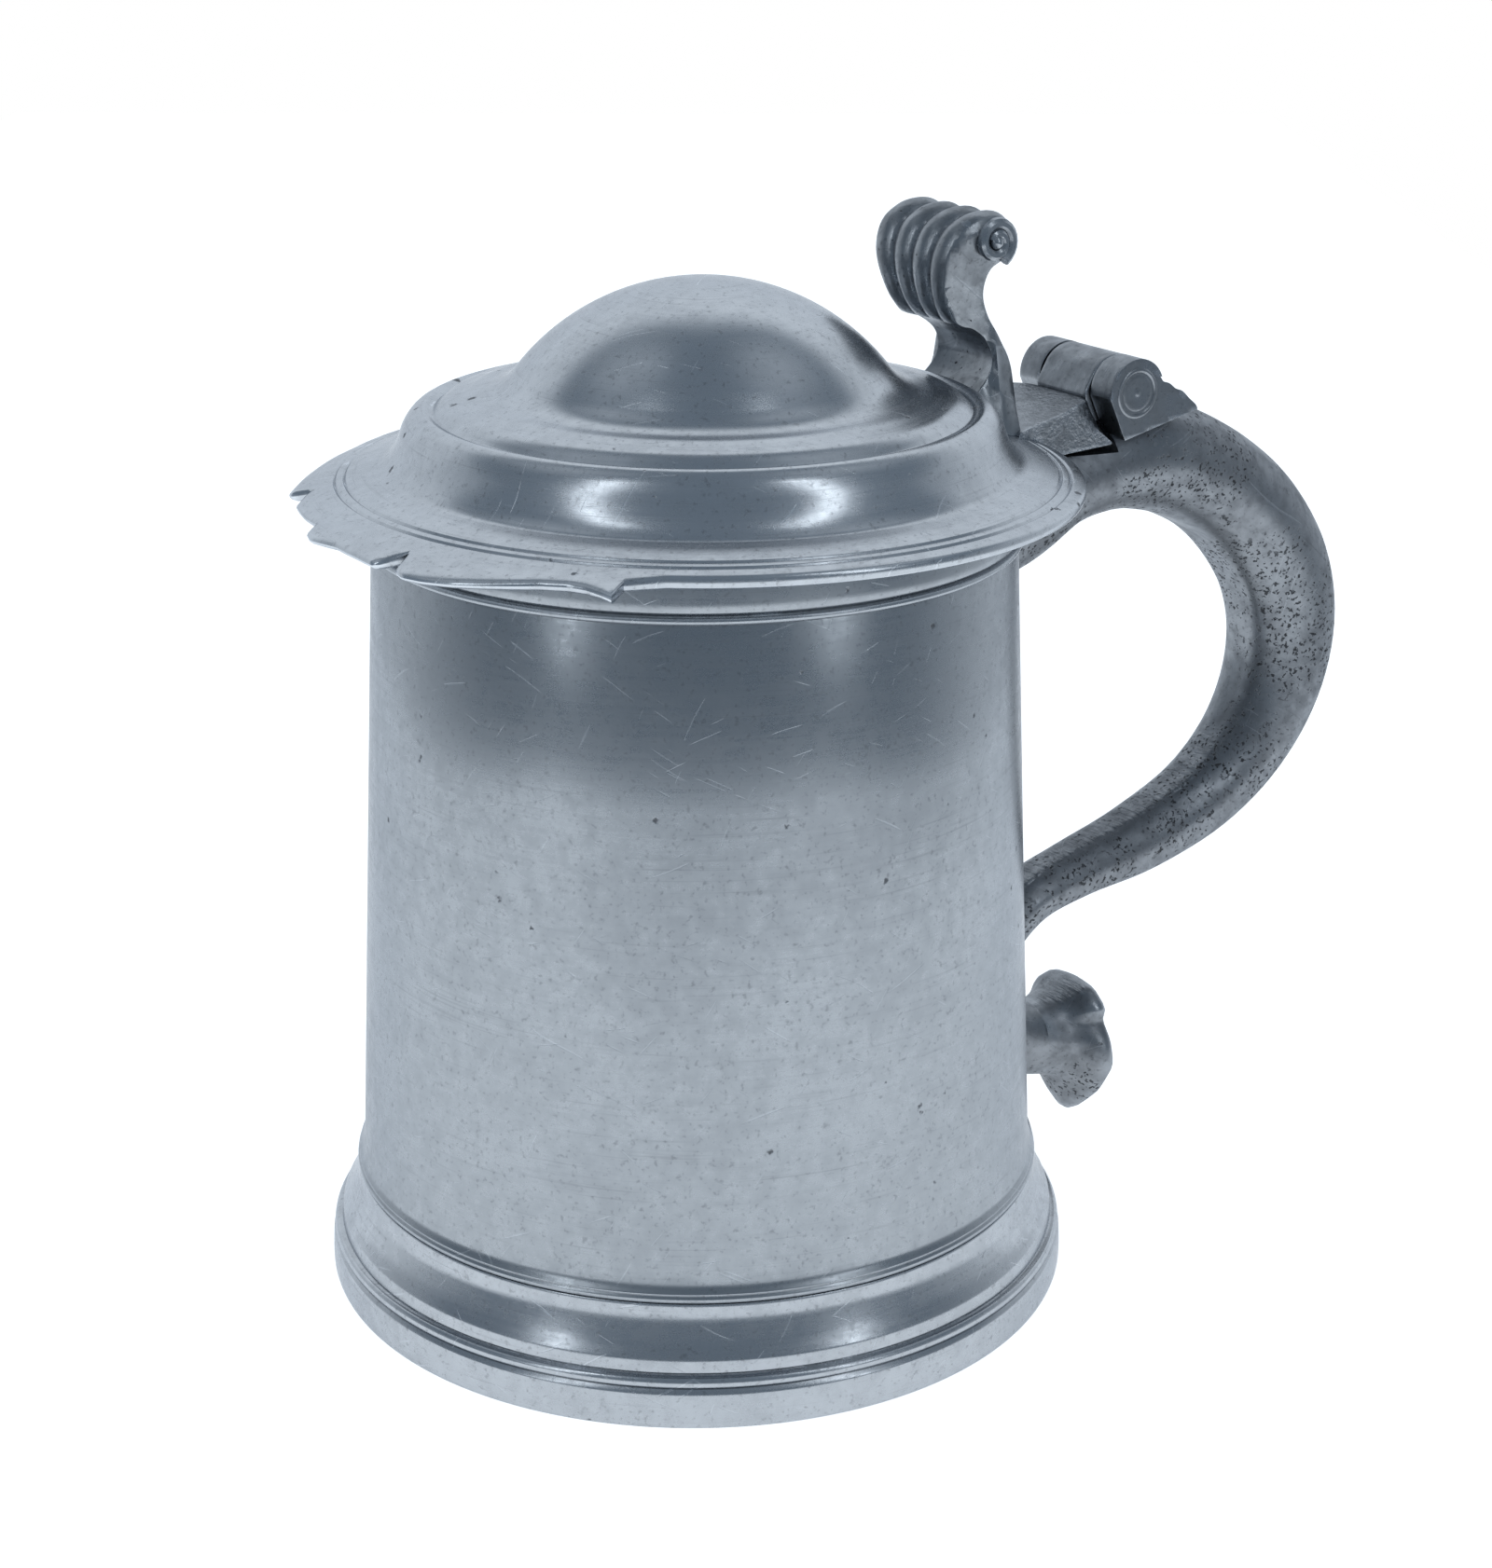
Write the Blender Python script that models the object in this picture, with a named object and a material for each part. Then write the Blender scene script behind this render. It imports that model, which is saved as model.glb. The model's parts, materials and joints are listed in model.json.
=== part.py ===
"""Pewter tankard with a hinged domed lid, a hollow-cast handle and a scrolled thumbpiece.

The named sizes are in millimetres and MM turns them into metres as a mesh is built. +Z is up, the
handle points along +X, the toothed front of the lid along -X, and the lid's hinge pin lies along Y.
The origin is under the middle of the whole object's box, so the drum's own axis stands at DRUM_X.
Pieces that touch keep the gap GAP between their surfaces.
"""

from math import atan2, cos, degrees, hypot, pi, radians, sin

import bmesh
import bpy
from mathutils import Vector

MM = 0.001
GAP = 0.3

# Drum: a tapered cylinder with a turned fillet at its foot and a plain band at its mouth.
DRUM_X = -38.0
DRUM_STEPS = 64
DRUM_BOTTOM_Z = 20.0
DRUM_BOTTOM_R = 58.9
BARREL_LOW_R = 58.0
TAPER = 0.0477
LIP_FILLET_Z = 130.2
LIP_BAND_R = 53.5
LIP_TOP_Z = 138.4
DRUM_WALL = 2.0

# Foot moulding and the floor that lies on its inner ledge.
FOOT_TOP_R = 59.0
FOOT_WIDEST_R = 64.0
FOOT_RIM_INNER_R = 61.0
FOOT_BORE_R = 56.4
LEDGE_R = 53.0
LEDGE_Z = 12.7
FLOOR_THICKNESS = 1.8

# Lid: flange, ogee shoulder and dome, turned about an axis set slightly towards the handle.
LID_X = DRUM_X + 1.6
LID_STEPS = 120
LID_WALL = 2.0
FLANGE_R = 62.2
FLANGE_EDGE_Z = 139.2
FLANGE_SLOPE = 0.275
FLANGE_THICKNESS = 2.5
FLANGE_INNER_R = 50.2
SHOULDER_R = 43.8
DOME_TOP_Z = 171.3
DOME_RADIUS = 38.8
DOME_ANGLE = radians(51.8)
DOME_FOOT_RADIUS = 7.9
BEZEL_OUTER_R = 49.2
BEZEL_INNER_R = 47.2
BEZEL_DEPTH = 4.0
TEETH_FROM_R = 59.0

# Hinge: one pin across the handle, through two fixed leaves and the lid's knuckle.
HINGE_X = DRUM_X + 83.4
HINGE_Z = 145.2
HINGE_HALF_WIDTH = 12.5
KNUCKLE_HALF_WIDTH = 6.7
BARREL_R = 6.0
PIN_R = 2.2
PIN_HOLE_R = 2.3
CAP_R = 4.6
CAP_DEPTH = 1.2
SEAT_SLOPE = 0.225

# Handle stations: distance from the drum axis, height, half thickness, half width.
HANDLE_PATH = (
    (50.0, 123.0, 13.0, 9.0),
    (64.0, 125.5, 11.0, 10.0),
    (74.0, 129.5, 9.0, 11.5),
    (84.0, 131.6, 9.2, 12.4),
    (93.0, 131.6, 10.0, 12.4),
    (102.0, 129.0, 10.0, 11.8),
    (113.1, 123.4, 9.8, 11.0),
    (122.5, 115.6, 10.0, 10.7),
    (130.2, 104.9, 10.1, 10.2),
    (133.4, 93.0, 9.9, 9.8),
    (131.6, 81.0, 9.2, 9.3),
    (125.0, 70.0, 8.2, 8.6),
    (114.1, 61.4, 7.1, 8.0),
    (98.9, 55.7, 6.2, 7.2),
    (84.0, 52.2, 5.4, 6.5),
    (72.5, 48.8, 5.0, 6.2),
    (64.4, 43.0, 4.9, 6.0),
    (61.3, 37.8, 4.9, 6.0),
    (61.3, 34.8, 4.9, 6.0),
)
TAIL_PATH = (
    (61.3, 34.5, 4.9, 6.0),
    (61.3, 31.6, 4.9, 6.0),
    (63.4, 26.2, 5.2, 6.1),
    (68.8, 22.4, 5.9, 6.4),
    (75.0, 20.6, 6.8, 7.0),
    (80.0, 19.4, 7.6, 8.4),
    (83.0, 18.8, 8.6, 9.4),
)
HANDLE_STEPS_BETWEEN = 3
SECTION_POINTS = 16
INNER_SQUARENESS = 0.45
INNER_SHARE = 0.8

# The shield that ends the tail: half width at each height, from the tip up.
SHIELD_HALF_OUTLINE = (
    (0.0, 3.0),
    (5.5, 6.0),
    (9.6, 10.8),
    (12.0, 16.5),
    (10.8, 21.0),
    (8.6, 24.6),
    (9.2, 27.4),
    (5.6, 30.2),
    (0.0, 31.0),
)
SHIELD_DISTANCE = 82.6
SHIELD_THICKNESS = 3.0


def clear_scene():
    """Removes every object of the scene that the script starts in."""
    for obj in list(bpy.data.objects):
        bpy.data.objects.remove(obj, do_unlink=True)


def metal(name, colour, roughness):
    """A metallic Principled material of one colour."""
    made = bpy.data.materials.new(name)
    made.use_nodes = True
    shader = made.node_tree.nodes["Principled BSDF"]
    shader.inputs["Base Color"].default_value = (*colour, 1.0)
    shader.inputs["Roughness"].default_value = roughness
    shader.inputs["Metallic"].default_value = 1.0
    return made


def finish(name, mesh, material, pivot=None):
    """Turns a bmesh in millimetres into a named object; a pivot empty becomes its parent."""
    bmesh.ops.remove_doubles(mesh, verts=mesh.verts, dist=1e-4)
    bmesh.ops.recalc_face_normals(mesh, faces=mesh.faces)
    bmesh.ops.scale(mesh, vec=(MM, MM, MM), verts=mesh.verts)
    if pivot:
        bmesh.ops.translate(mesh, vec=-pivot.location, verts=mesh.verts)
    data = bpy.data.meshes.new(name)
    mesh.to_mesh(data)
    mesh.free()
    data.shade_smooth()
    data.set_sharp_from_angle(angle=radians(35))
    data.materials.append(material)
    obj = bpy.data.objects.new(name, data)
    bpy.context.scene.collection.objects.link(obj)
    if pivot:
        obj.parent = pivot
    return obj


def cut(target, cutter):
    """Subtracts one object from another and hides the cutter."""
    cutter.hide_render = True
    cutter.display_type = "WIRE"
    modifier = target.modifiers.new(cutter.name, "BOOLEAN")
    modifier.operation = "DIFFERENCE"
    modifier.solver = "EXACT"
    modifier.object = cutter


def arc(centre, radius, start, end, steps):
    """Points of a circular arc in a plane, with its angles in radians."""
    turns = (start + (end - start) * i / steps for i in range(steps + 1))
    return [(centre[0] + radius * cos(a), centre[1] + radius * sin(a)) for a in turns]


def turned(profile, axis_x, steps, closed=True):
    """Spins an outline of (radius, height) points about a vertical axis."""
    mesh = bmesh.new()
    verts = [mesh.verts.new((axis_x + r, 0, z)) for r, z in profile]
    pairs = list(zip(verts, verts[1:]))
    if closed:
        pairs.append((verts[-1], verts[0]))
    edges = [mesh.edges.new(pair) for pair in pairs]
    bmesh.ops.spin(
        mesh,
        geom=verts + edges,
        cent=(axis_x, 0, 0),
        axis=(0, 0, 1),
        angle=2 * pi,
        steps=steps,
        use_merge=True,
    )
    return mesh


def prism(outline, low_y, high_y, slices=1):
    """Extrudes an outline of (x, z) points along Y in even slices."""
    mesh = bmesh.new()
    front = [mesh.verts.new((x, low_y, z)) for x, z in outline]
    face = mesh.faces.new(front)
    for done in range(slices):
        grown = bmesh.ops.extrude_face_region(mesh, geom=[face])["geom"]
        moved = [g for g in grown if isinstance(g, bmesh.types.BMVert)]
        bmesh.ops.translate(mesh, vec=(0, (high_y - low_y) / slices, 0), verts=moved)
        if done:
            mesh.faces.remove(face)
        face = next(g for g in grown if isinstance(g, bmesh.types.BMFace))
    return mesh


def spline(stations, between):
    """A smooth Catmull-Rom path through rows of numbers."""
    rows = [stations[0], *stations, stations[-1]]
    found = []
    for p0, p1, p2, p3 in zip(rows, rows[1:], rows[2:], rows[3:]):
        for step in range(between):
            t = step / between
            found.append(
                tuple(
                    b + 0.5 * t * (c - a + t * (2 * a - 5 * b + 4 * c - d + t * (3 * (b - c) + d - a)))
                    for a, b, c, d in zip(p0, p1, p2, p3)
                )
            )
    return [*found, tuple(stations[-1])]


def section(half_thickness, half_width, squareness):
    """An oval section; a squareness above zero makes the side towards the hand flatter."""
    points = []
    for i in range(SECTION_POINTS):
        a = 2 * pi * i / SECTION_POINTS
        out, across = cos(a), sin(a)
        if squareness and out < 0:
            square = max(-out, abs(across)) ** -squareness
            out, across = out * square * INNER_SHARE, across * square
        points.append((half_thickness * out, half_width * across))
    return points


def lofted(stations, squareness=INNER_SQUARENESS):
    """A closed tube of sections along stations in the XZ plane."""
    path = spline(stations, HANDLE_STEPS_BETWEEN)
    mesh = bmesh.new()
    rings = []
    last = len(path) - 1
    for i, (x, z, thickness, width) in enumerate(path):
        before, after = path[max(i - 1, 0)], path[min(i + 1, last)]
        if i in (0, last):
            before, after = stations[:2] if i == 0 else stations[-2:]
        run = Vector((after[0] - before[0], 0, after[1] - before[1])).normalized()
        out = Vector((-run.z, 0, run.x))
        middle = Vector((DRUM_X + x, 0, z))
        places = (middle + out * o + Vector((0, a, 0)) for o, a in section(thickness, width, squareness))
        ring = [mesh.verts.new(place) for place in places]
        rings.append([mesh.edges.new(pair) for pair in zip(ring, ring[1:] + ring[:1])])
    for first, second in zip(rings, rings[1:]):
        bmesh.ops.bridge_loops(mesh, edges=first + second)
    for ring in (rings[0], rings[-1]):
        bmesh.ops.edgeloop_fill(mesh, edges=ring)
    return mesh


def drum_radius(z):
    """Outer radius of the tapered drum at a height."""
    return BARREL_LOW_R - TAPER * (z - DRUM_BOTTOM_Z)


def drum_outline(extra=0.0):
    """Outer outline of the drum from its foot to its mouth, grown by extra."""
    points = [
        (DRUM_BOTTOM_R, DRUM_BOTTOM_Z),
        (DRUM_BOTTOM_R + 0.2, DRUM_BOTTOM_Z + 1.2),
        (drum_radius(22.0), 22.0),
        (drum_radius(75.0), 75.0),
        (drum_radius(LIP_FILLET_Z - 0.8), LIP_FILLET_Z - 0.8),
        (LIP_BAND_R + 0.2, LIP_FILLET_Z),
        (LIP_BAND_R - 0.3, LIP_FILLET_Z + 1.0),
        (LIP_BAND_R + 0.2, LIP_TOP_Z - 0.6),
        (LIP_BAND_R - 0.3, LIP_TOP_Z),
    ]
    return [(r + extra, z) for r, z in points]


def make_drum(pewter):
    """The body: an open tapered cylinder."""
    inner = [(drum_radius(z) - DRUM_WALL, z) for z in (LIP_TOP_Z, 75.0, DRUM_BOTTOM_Z)]
    return finish("drum", turned(drum_outline() + inner, DRUM_X, DRUM_STEPS), pewter)


def foot_outline():
    """Outer outline of the foot: cove, ogee, groove, bead and rim, from its top to the table."""
    bead = arc((62.3, 8.0), 1.1, radians(75), radians(-70), 3)
    return [
        (FOOT_TOP_R, DRUM_BOTTOM_Z - GAP),
        (59.6, 17.4),
        (60.9, 15.2),
        (61.9, 12.2),
        (62.1, 9.4),
        *bead,
        (63.3, 6.2),
        (FOOT_WIDEST_R, 3.0),
        (63.4, 0.0),
    ]


def make_foot(pewter):
    """The turned foot ring, with a ledge inside it for the floor."""
    inside = [
        (FOOT_RIM_INNER_R, 0.0),
        (FOOT_RIM_INNER_R + 0.2, 3.4),
        (59.8, 8.0),
        (58.6, 10.4),
        (LEDGE_R, 10.6),
        (LEDGE_R, LEDGE_Z),
        (FOOT_BORE_R, LEDGE_Z),
        (FOOT_BORE_R, DRUM_BOTTOM_Z - GAP),
    ]
    return finish("foot_moulding", turned(foot_outline() + inside, DRUM_X, DRUM_STEPS), pewter)


def make_floor(pewter):
    """The floor disc that closes the drum."""
    low, radius = LEDGE_Z + GAP, FOOT_BORE_R - GAP
    outline = [(0, low), (radius, low), (radius, low + FLOOR_THICKNESS), (0, low + FLOOR_THICKNESS)]
    return finish("floor_disc", turned(outline, DRUM_X, DRUM_STEPS, closed=False), pewter)


def lid_outline(extra=0.0):
    """Upper outline of the lid from the top of its dome to the flange edge, grown by extra."""
    dome = arc((0, DOME_TOP_Z - DOME_RADIUS), DOME_RADIUS, pi / 2, pi / 2 - DOME_ANGLE, 4)
    end_r, end_z = dome[-1]
    hollow = (
        end_r + DOME_FOOT_RADIUS * sin(DOME_ANGLE),
        end_z + DOME_FOOT_RADIUS * cos(DOME_ANGLE),
    )
    foot = arc(hollow, DOME_FOOT_RADIUS, 1.5 * pi - DOME_ANGLE, 1.5 * pi - 0.12, 2)[1:]
    points = [
        *dome,
        *foot,
        (38.5, 153.0),
        (41.5, 151.9),
        (SHOULDER_R - 0.6, 150.4),
        (45.2, 151.1),
        (47.4, 149.8),
        (48.8, 147.0),
        (FLANGE_INNER_R - 0.2, 144.0),
        (FLANGE_INNER_R, flange_top(FLANGE_INNER_R)),
        (TEETH_FROM_R, flange_top(TEETH_FROM_R)),
        (FLANGE_R, FLANGE_EDGE_Z),
    ]
    return [(r + extra if r > 0 else 0.0, z + extra) for r, z in points]


def flange_top(radius):
    """Height of the flange's upper side at a radius."""
    return FLANGE_EDGE_Z + FLANGE_SLOPE * (FLANGE_R - radius)


# Outline of the toothed front of the flange: degrees round from the front, and radius.
TEETH = (
    (-51, FLANGE_R),
    (-45, 63.4),
    (-36, 66.0),
    (-27, 67.2),
    (-24, 63.4),
    (-18, 67.0),
    (-12, 66.6),
    (-9, 65.4),
    (-6, 69.0),
    (0, 67.8),
    (9, 68.8),
    (12, 64.2),
    (15, 69.0),
    (18, 70.0),
    (27, 68.8),
    (36, 64.6),
    (42, 66.0),
    (45, 68.0),
    (48, FLANGE_R),
)


def rim_radius(angle):
    """Radius of the flange edge at an angle in degrees from the lid's front."""
    for (low, start), (high, end) in zip(TEETH, TEETH[1:]):
        if low <= angle <= high:
            return start + (end - start) * (angle - low) / (high - low)
    return FLANGE_R


def cut_teeth(mesh):
    """Moves the flange edge out to the toothed outline, keeping the flange's slope."""
    for vert in mesh.verts:
        x, y = vert.co.x - LID_X, vert.co.y
        radius = hypot(x, y)
        if radius <= TEETH_FROM_R + 0.1:
            continue
        share = (radius - TEETH_FROM_R) / (FLANGE_R - TEETH_FROM_R)
        wanted = TEETH_FROM_R + share * (rim_radius(degrees(atan2(-y, -x))) - TEETH_FROM_R)
        vert.co.x, vert.co.y = LID_X + x * wanted / radius, y * wanted / radius
        vert.co.z -= FLANGE_SLOPE * (wanted - radius)


def make_lid(pewter, pivot):
    """The domed lid: a turned shell with a toothed flange."""
    inside_radius = DOME_RADIUS - LID_WALL
    centre = (0, DOME_TOP_Z - DOME_RADIUS)
    inside = [
        (FLANGE_R, FLANGE_EDGE_Z - FLANGE_THICKNESS),
        (TEETH_FROM_R, flange_top(TEETH_FROM_R) - FLANGE_THICKNESS),
        (FLANGE_INNER_R, flange_top(FLANGE_INNER_R) - FLANGE_THICKNESS),
        (FLANGE_INNER_R - 2.2, 144.0),
        (46.0, 147.6),
        (36.0, 151.0),
        *arc(centre, inside_radius, radians(38), pi / 2, 3),
    ]
    mesh = turned(lid_outline() + inside, LID_X, LID_STEPS, closed=False)
    cut_teeth(mesh)
    return finish("lid_cover", mesh, pewter, pivot)


def make_bezel(pewter, pivot):
    """The ring under the lid that drops into the drum's mouth."""
    top = flange_top(FLANGE_INNER_R) - FLANGE_THICKNESS - GAP
    outline = [
        (BEZEL_INNER_R, top),
        (BEZEL_INNER_R, top - BEZEL_DEPTH),
        (BEZEL_OUTER_R - 0.5, top - BEZEL_DEPTH),
        (BEZEL_OUTER_R, top - 1.0),
        (BEZEL_OUTER_R, top),
    ]
    return finish("lid_bezel", turned(outline, DRUM_X + 0.3, DRUM_STEPS), pewter, pivot)


def thumb_outline():
    """Side outline of the thumbpiece: stem, undercut lobes, scroll over the top, belly, base."""
    scroll = arc((51.8, 174.2), 4.3, radians(100), radians(-80), 6)
    points = [
        (47.0, 142.0),
        (49.6, 147.0),
        (53.8, 150.6),
        (54.6, 154.2),
        (52.8, 157.6),
        (49.2, 159.8),
        (46.8, 160.0),
        (44.2, 163.6),
        (42.6, 168.4),
        (43.2, 173.4),
        (46.2, 177.2),
        *scroll,
        (51.6, 166.0),
        (53.6, 161.0),
        (57.6, 156.0),
        (59.4, 151.0),
        (59.2, 145.0),
        (59.4, 138.0),
    ]
    return [(DRUM_X + x, z) for x, z in points]


def thumb_half_width(z):
    """Half width of the thumbpiece at a height: flared foot, narrow stem, broad scroll."""
    marks = ((138, 12.0), (143, 10.6), (150, 8.2), (157, 7.4), (161, 8.2), (170, 10.2), (178.6, 11.8))
    for (low, start), (high, end) in zip(marks, marks[1:]):
        if z <= high:
            return start + (end - start) * max(z - low, 0) / (high - low)
    return marks[-1][1]


def make_thumbpiece(pewter, pivot, lid_clearance):
    """The cast thumbpiece, with four ribs on its face, cut to sit on the lid."""
    slices, ribs, rib_depth = 16, 4, 0.7
    mesh = prism(thumb_outline(), -1.0, 1.0, slices)
    for vert in mesh.verts:
        across = vert.co.y
        vert.co.y = across * thumb_half_width(vert.co.z)
        on_face = vert.co.z > 161 and vert.co.x < DRUM_X + 50
        if on_face:
            vert.co.x -= rib_depth * (abs(sin(pi * ribs * (across + 1) / 2)) - 0.5)
    made = finish("thumbpiece", mesh, pewter, pivot)
    cut(made, lid_clearance)
    return made


def make_hinge_plate(pewter, pivot):
    """The wedge between the lid's flange and its knuckle."""
    rise = flange_top(58.6) + 2 * GAP
    side = [
        (60.5, rise + 0.2),
        (76.4, 144.3),
        (77.2, 141.0),
        (79.8, 137.4),
        (64.5, 136.2),
        (64.3, flange_top(62.2) + GAP),
        (60.5, rise - 0.1),
    ]
    mesh = prism([(DRUM_X + x, z) for x, z in side], -1.0, 1.0, 2)
    for vert in mesh.verts:
        vert.co.y *= 10.6
    return finish("lid_hinge_plate", mesh, pewter, pivot)


def pin_hole(name, low_y, high_y, radius):
    """A cutter along the hinge axis."""
    return finish(name, barrel(radius, low_y, high_y, 24), plain_material())


def barrel(radius, low_y, high_y, steps):
    """A cylinder along the hinge axis."""
    return prism(arc((HINGE_X, HINGE_Z), radius, 0, 2 * pi * (1 - 1 / steps), steps - 1), low_y, high_y)


def plain_material():
    """The material that cutters carry."""
    return bpy.data.materials.get("cutter") or metal("cutter", (0.5, 0.5, 0.5), 0.5)


def make_knuckle(pewter, pivot, hole):
    """The lid's own knuckle, with a web forward to the hinge plate."""
    web = [(76.8, 145.0), (76.9, 144.0), (77.6, 141.2), (78.6, 139.8)]
    round_part = arc((HINGE_X, HINGE_Z), BARREL_R, radians(-110), radians(150), 20)
    outline = [*round_part, *((DRUM_X + x, z) for x, z in web)]
    mesh = prism(outline, -KNUCKLE_HALF_WIDTH, KNUCKLE_HALF_WIDTH)
    made = finish("lid_knuckle", mesh, pewter, pivot)
    cut(made, hole)
    return made


def leaf_outline():
    """Side outline of a fixed hinge leaf: a round head on a stepped bracket."""
    head = arc((HINGE_X, HINGE_Z), BARREL_R, radians(180), radians(28), 12)
    steps = [(89.6, 146.2), (92.6, 144.8), (95.6, 142.9), (97.9, 141.2)]
    front_x = HINGE_X - 2.4
    seat = [(DRUM_X + 97.9, seat_height(DRUM_X + 97.9) + GAP), (front_x, seat_height(front_x) + GAP)]
    return [*head, *((DRUM_X + x, z) for x, z in steps), *seat]


def seat_height(x):
    """Height of the sloping seat on the handle that the hinge leaves stand on."""
    return 136.1 + SEAT_SLOPE * (x - (HINGE_X - BARREL_R))


def make_leaf(name, pewter, side, hole):
    """One of the two fixed leaves that hold the pin."""
    inner, outer = side * (KNUCKLE_HALF_WIDTH + GAP), side * HINGE_HALF_WIDTH
    made = finish(name, prism(leaf_outline(), min(inner, outer), max(inner, outer)), pewter)
    cut(made, hole)
    recess = side * (HINGE_HALF_WIDTH - CAP_DEPTH - GAP)
    beyond = side * (HINGE_HALF_WIDTH + 2)
    cutter = pin_hole(f"{name}_recess", min(recess, beyond), max(recess, beyond), CAP_R + GAP)
    cut(made, cutter)
    return made


def make_pin(iron):
    """The iron pin through the leaves and the lid's knuckle."""
    half = HINGE_HALF_WIDTH - CAP_DEPTH - 2 * GAP
    return finish("hinge_pin", barrel(PIN_R, -half, half, 24), iron)


def make_pin_cap(name, pewter, side):
    """A disc that closes the pin's hole on the outside of a leaf."""
    inner, outer = side * (HINGE_HALF_WIDTH - CAP_DEPTH), side * (HINGE_HALF_WIDTH + 0.3)
    return finish(name, barrel(CAP_R, min(inner, outer), max(inner, outer), 24), pewter)


def make_handle(pewter, drum_clearance):
    """The handle from the drum's mouth round to its lower joint, with a seat cut for the hinge."""
    made = finish("handle", lofted(HANDLE_PATH), pewter)
    cut(made, drum_clearance)
    step_x, back_x = HINGE_X - 3.0, DRUM_X + 98.3
    top = 165.0
    outline = [
        (DRUM_X + 40, 134.6),
        (step_x, 134.9),
        (step_x, seat_height(step_x)),
        (back_x, seat_height(back_x)),
        (back_x, top),
        (DRUM_X + 40, top),
    ]
    cut(made, finish("hinge_seat_cutter", prism(outline, -20, 20), plain_material()))
    return made


def make_tail(pewter, drum_clearance):
    """The tail below the lower joint: a short stem that flares into a shield-shaped end."""
    stem = finish("handle_tail", lofted(TAIL_PATH, squareness=0.0), pewter)
    cut(stem, drum_clearance)
    half = [(w, z) for w, z in SHIELD_HALF_OUTLINE]
    outline = half + [(-w, z) for w, z in reversed(half[1:-1])]
    mesh = bmesh.new()
    x = DRUM_X + SHIELD_DISTANCE
    face = mesh.faces.new([mesh.verts.new((x, w, z)) for w, z in outline])
    grown = bmesh.ops.extrude_face_region(mesh, geom=[face])["geom"]
    moved = [g for g in grown if isinstance(g, bmesh.types.BMVert)]
    bmesh.ops.translate(mesh, vec=(SHIELD_THICKNESS, 0, 0), verts=moved)
    shield = finish("tail_shield_union", mesh, plain_material())
    shield.hide_render = True
    shield.display_type = "WIRE"
    joined = stem.modifiers.new("shield", "BOOLEAN")
    joined.operation = "UNION"
    joined.solver = "EXACT"
    joined.object = shield
    return stem


def main():
    """Builds every piece of the tankard in its closed position."""
    clear_scene()
    body_pewter = metal("drum_pewter", (0.36, 0.39, 0.43), 0.36)
    turned_pewter = metal("turned_pewter", (0.40, 0.43, 0.47), 0.30)
    cast_pewter = metal("cast_pewter", (0.30, 0.32, 0.35), 0.45)
    iron = metal("pin_iron", (0.18, 0.17, 0.17), 0.55)

    pivot = bpy.data.objects.new("lid_hinge_axis", None)
    pivot.location = (HINGE_X * MM, 0, HINGE_Z * MM)
    bpy.context.scene.collection.objects.link(pivot)

    make_drum(body_pewter)
    make_foot(turned_pewter)
    make_floor(body_pewter)

    under = [(0, DRUM_BOTTOM_Z), *drum_outline(extra=GAP), (LIP_BAND_R, LIP_TOP_Z + 9), (0, LIP_TOP_Z + 9)]
    drum_clearance = finish(
        "drum_clearance", turned(under, DRUM_X, DRUM_STEPS, closed=False), plain_material()
    )
    make_handle(cast_pewter, drum_clearance)
    make_tail(cast_pewter, drum_clearance)

    make_lid(turned_pewter, pivot)
    make_bezel(turned_pewter, pivot)
    over = [*lid_outline(extra=GAP), (FLANGE_R, 130.0), (0, 130.0)]
    lid_clearance = finish(
        "lid_clearance", turned(over, LID_X, LID_STEPS, closed=False), plain_material()
    )
    make_thumbpiece(cast_pewter, pivot, lid_clearance)
    make_hinge_plate(cast_pewter, pivot)

    hole = pin_hole("pin_hole", -2 * HINGE_HALF_WIDTH, 2 * HINGE_HALF_WIDTH, PIN_HOLE_R)
    make_knuckle(turned_pewter, pivot, hole)
    for side, name in ((-1, "near"), (1, "far")):
        make_leaf(f"hinge_leaf_{name}", cast_pewter, side, hole)
        make_pin_cap(f"pin_cap_{name}", turned_pewter, side)
    make_pin(iron)


main()
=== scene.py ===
"""Looks of a lidded pewter tankard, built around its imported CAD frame.

Profiles and paths are in millimetres: distances from the drum's axis and heights above the
table. MM turns them into metres when a piece is finished, so every piece sits at the origin
with its place in its mesh, as the CAD nodes do.
"""

from __future__ import annotations

import json
import logging
from dataclasses import dataclass
from enum import Enum
from math import atan2, copysign, cos, degrees, hypot, pi, radians, sin, sqrt
from typing import Any, Callable, Sequence

import bmesh
import bpy
from mathutils import Matrix, Vector


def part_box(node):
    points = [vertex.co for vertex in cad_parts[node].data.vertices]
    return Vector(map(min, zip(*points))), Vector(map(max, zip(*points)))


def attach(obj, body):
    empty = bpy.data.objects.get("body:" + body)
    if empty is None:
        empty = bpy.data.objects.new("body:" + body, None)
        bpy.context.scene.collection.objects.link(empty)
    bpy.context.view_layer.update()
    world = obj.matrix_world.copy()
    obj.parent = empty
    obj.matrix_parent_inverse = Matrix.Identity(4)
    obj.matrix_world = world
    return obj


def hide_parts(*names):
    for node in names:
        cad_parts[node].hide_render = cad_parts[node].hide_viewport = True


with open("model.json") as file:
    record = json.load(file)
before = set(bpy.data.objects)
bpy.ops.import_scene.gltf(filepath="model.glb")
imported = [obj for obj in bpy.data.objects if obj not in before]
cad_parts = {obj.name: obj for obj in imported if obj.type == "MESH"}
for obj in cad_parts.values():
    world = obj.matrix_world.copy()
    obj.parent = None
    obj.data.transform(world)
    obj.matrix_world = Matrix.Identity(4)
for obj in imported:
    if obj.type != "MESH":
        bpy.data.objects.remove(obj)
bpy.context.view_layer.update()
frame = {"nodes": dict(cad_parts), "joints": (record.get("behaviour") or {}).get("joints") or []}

log = logging.getLogger("tankard")

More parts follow.
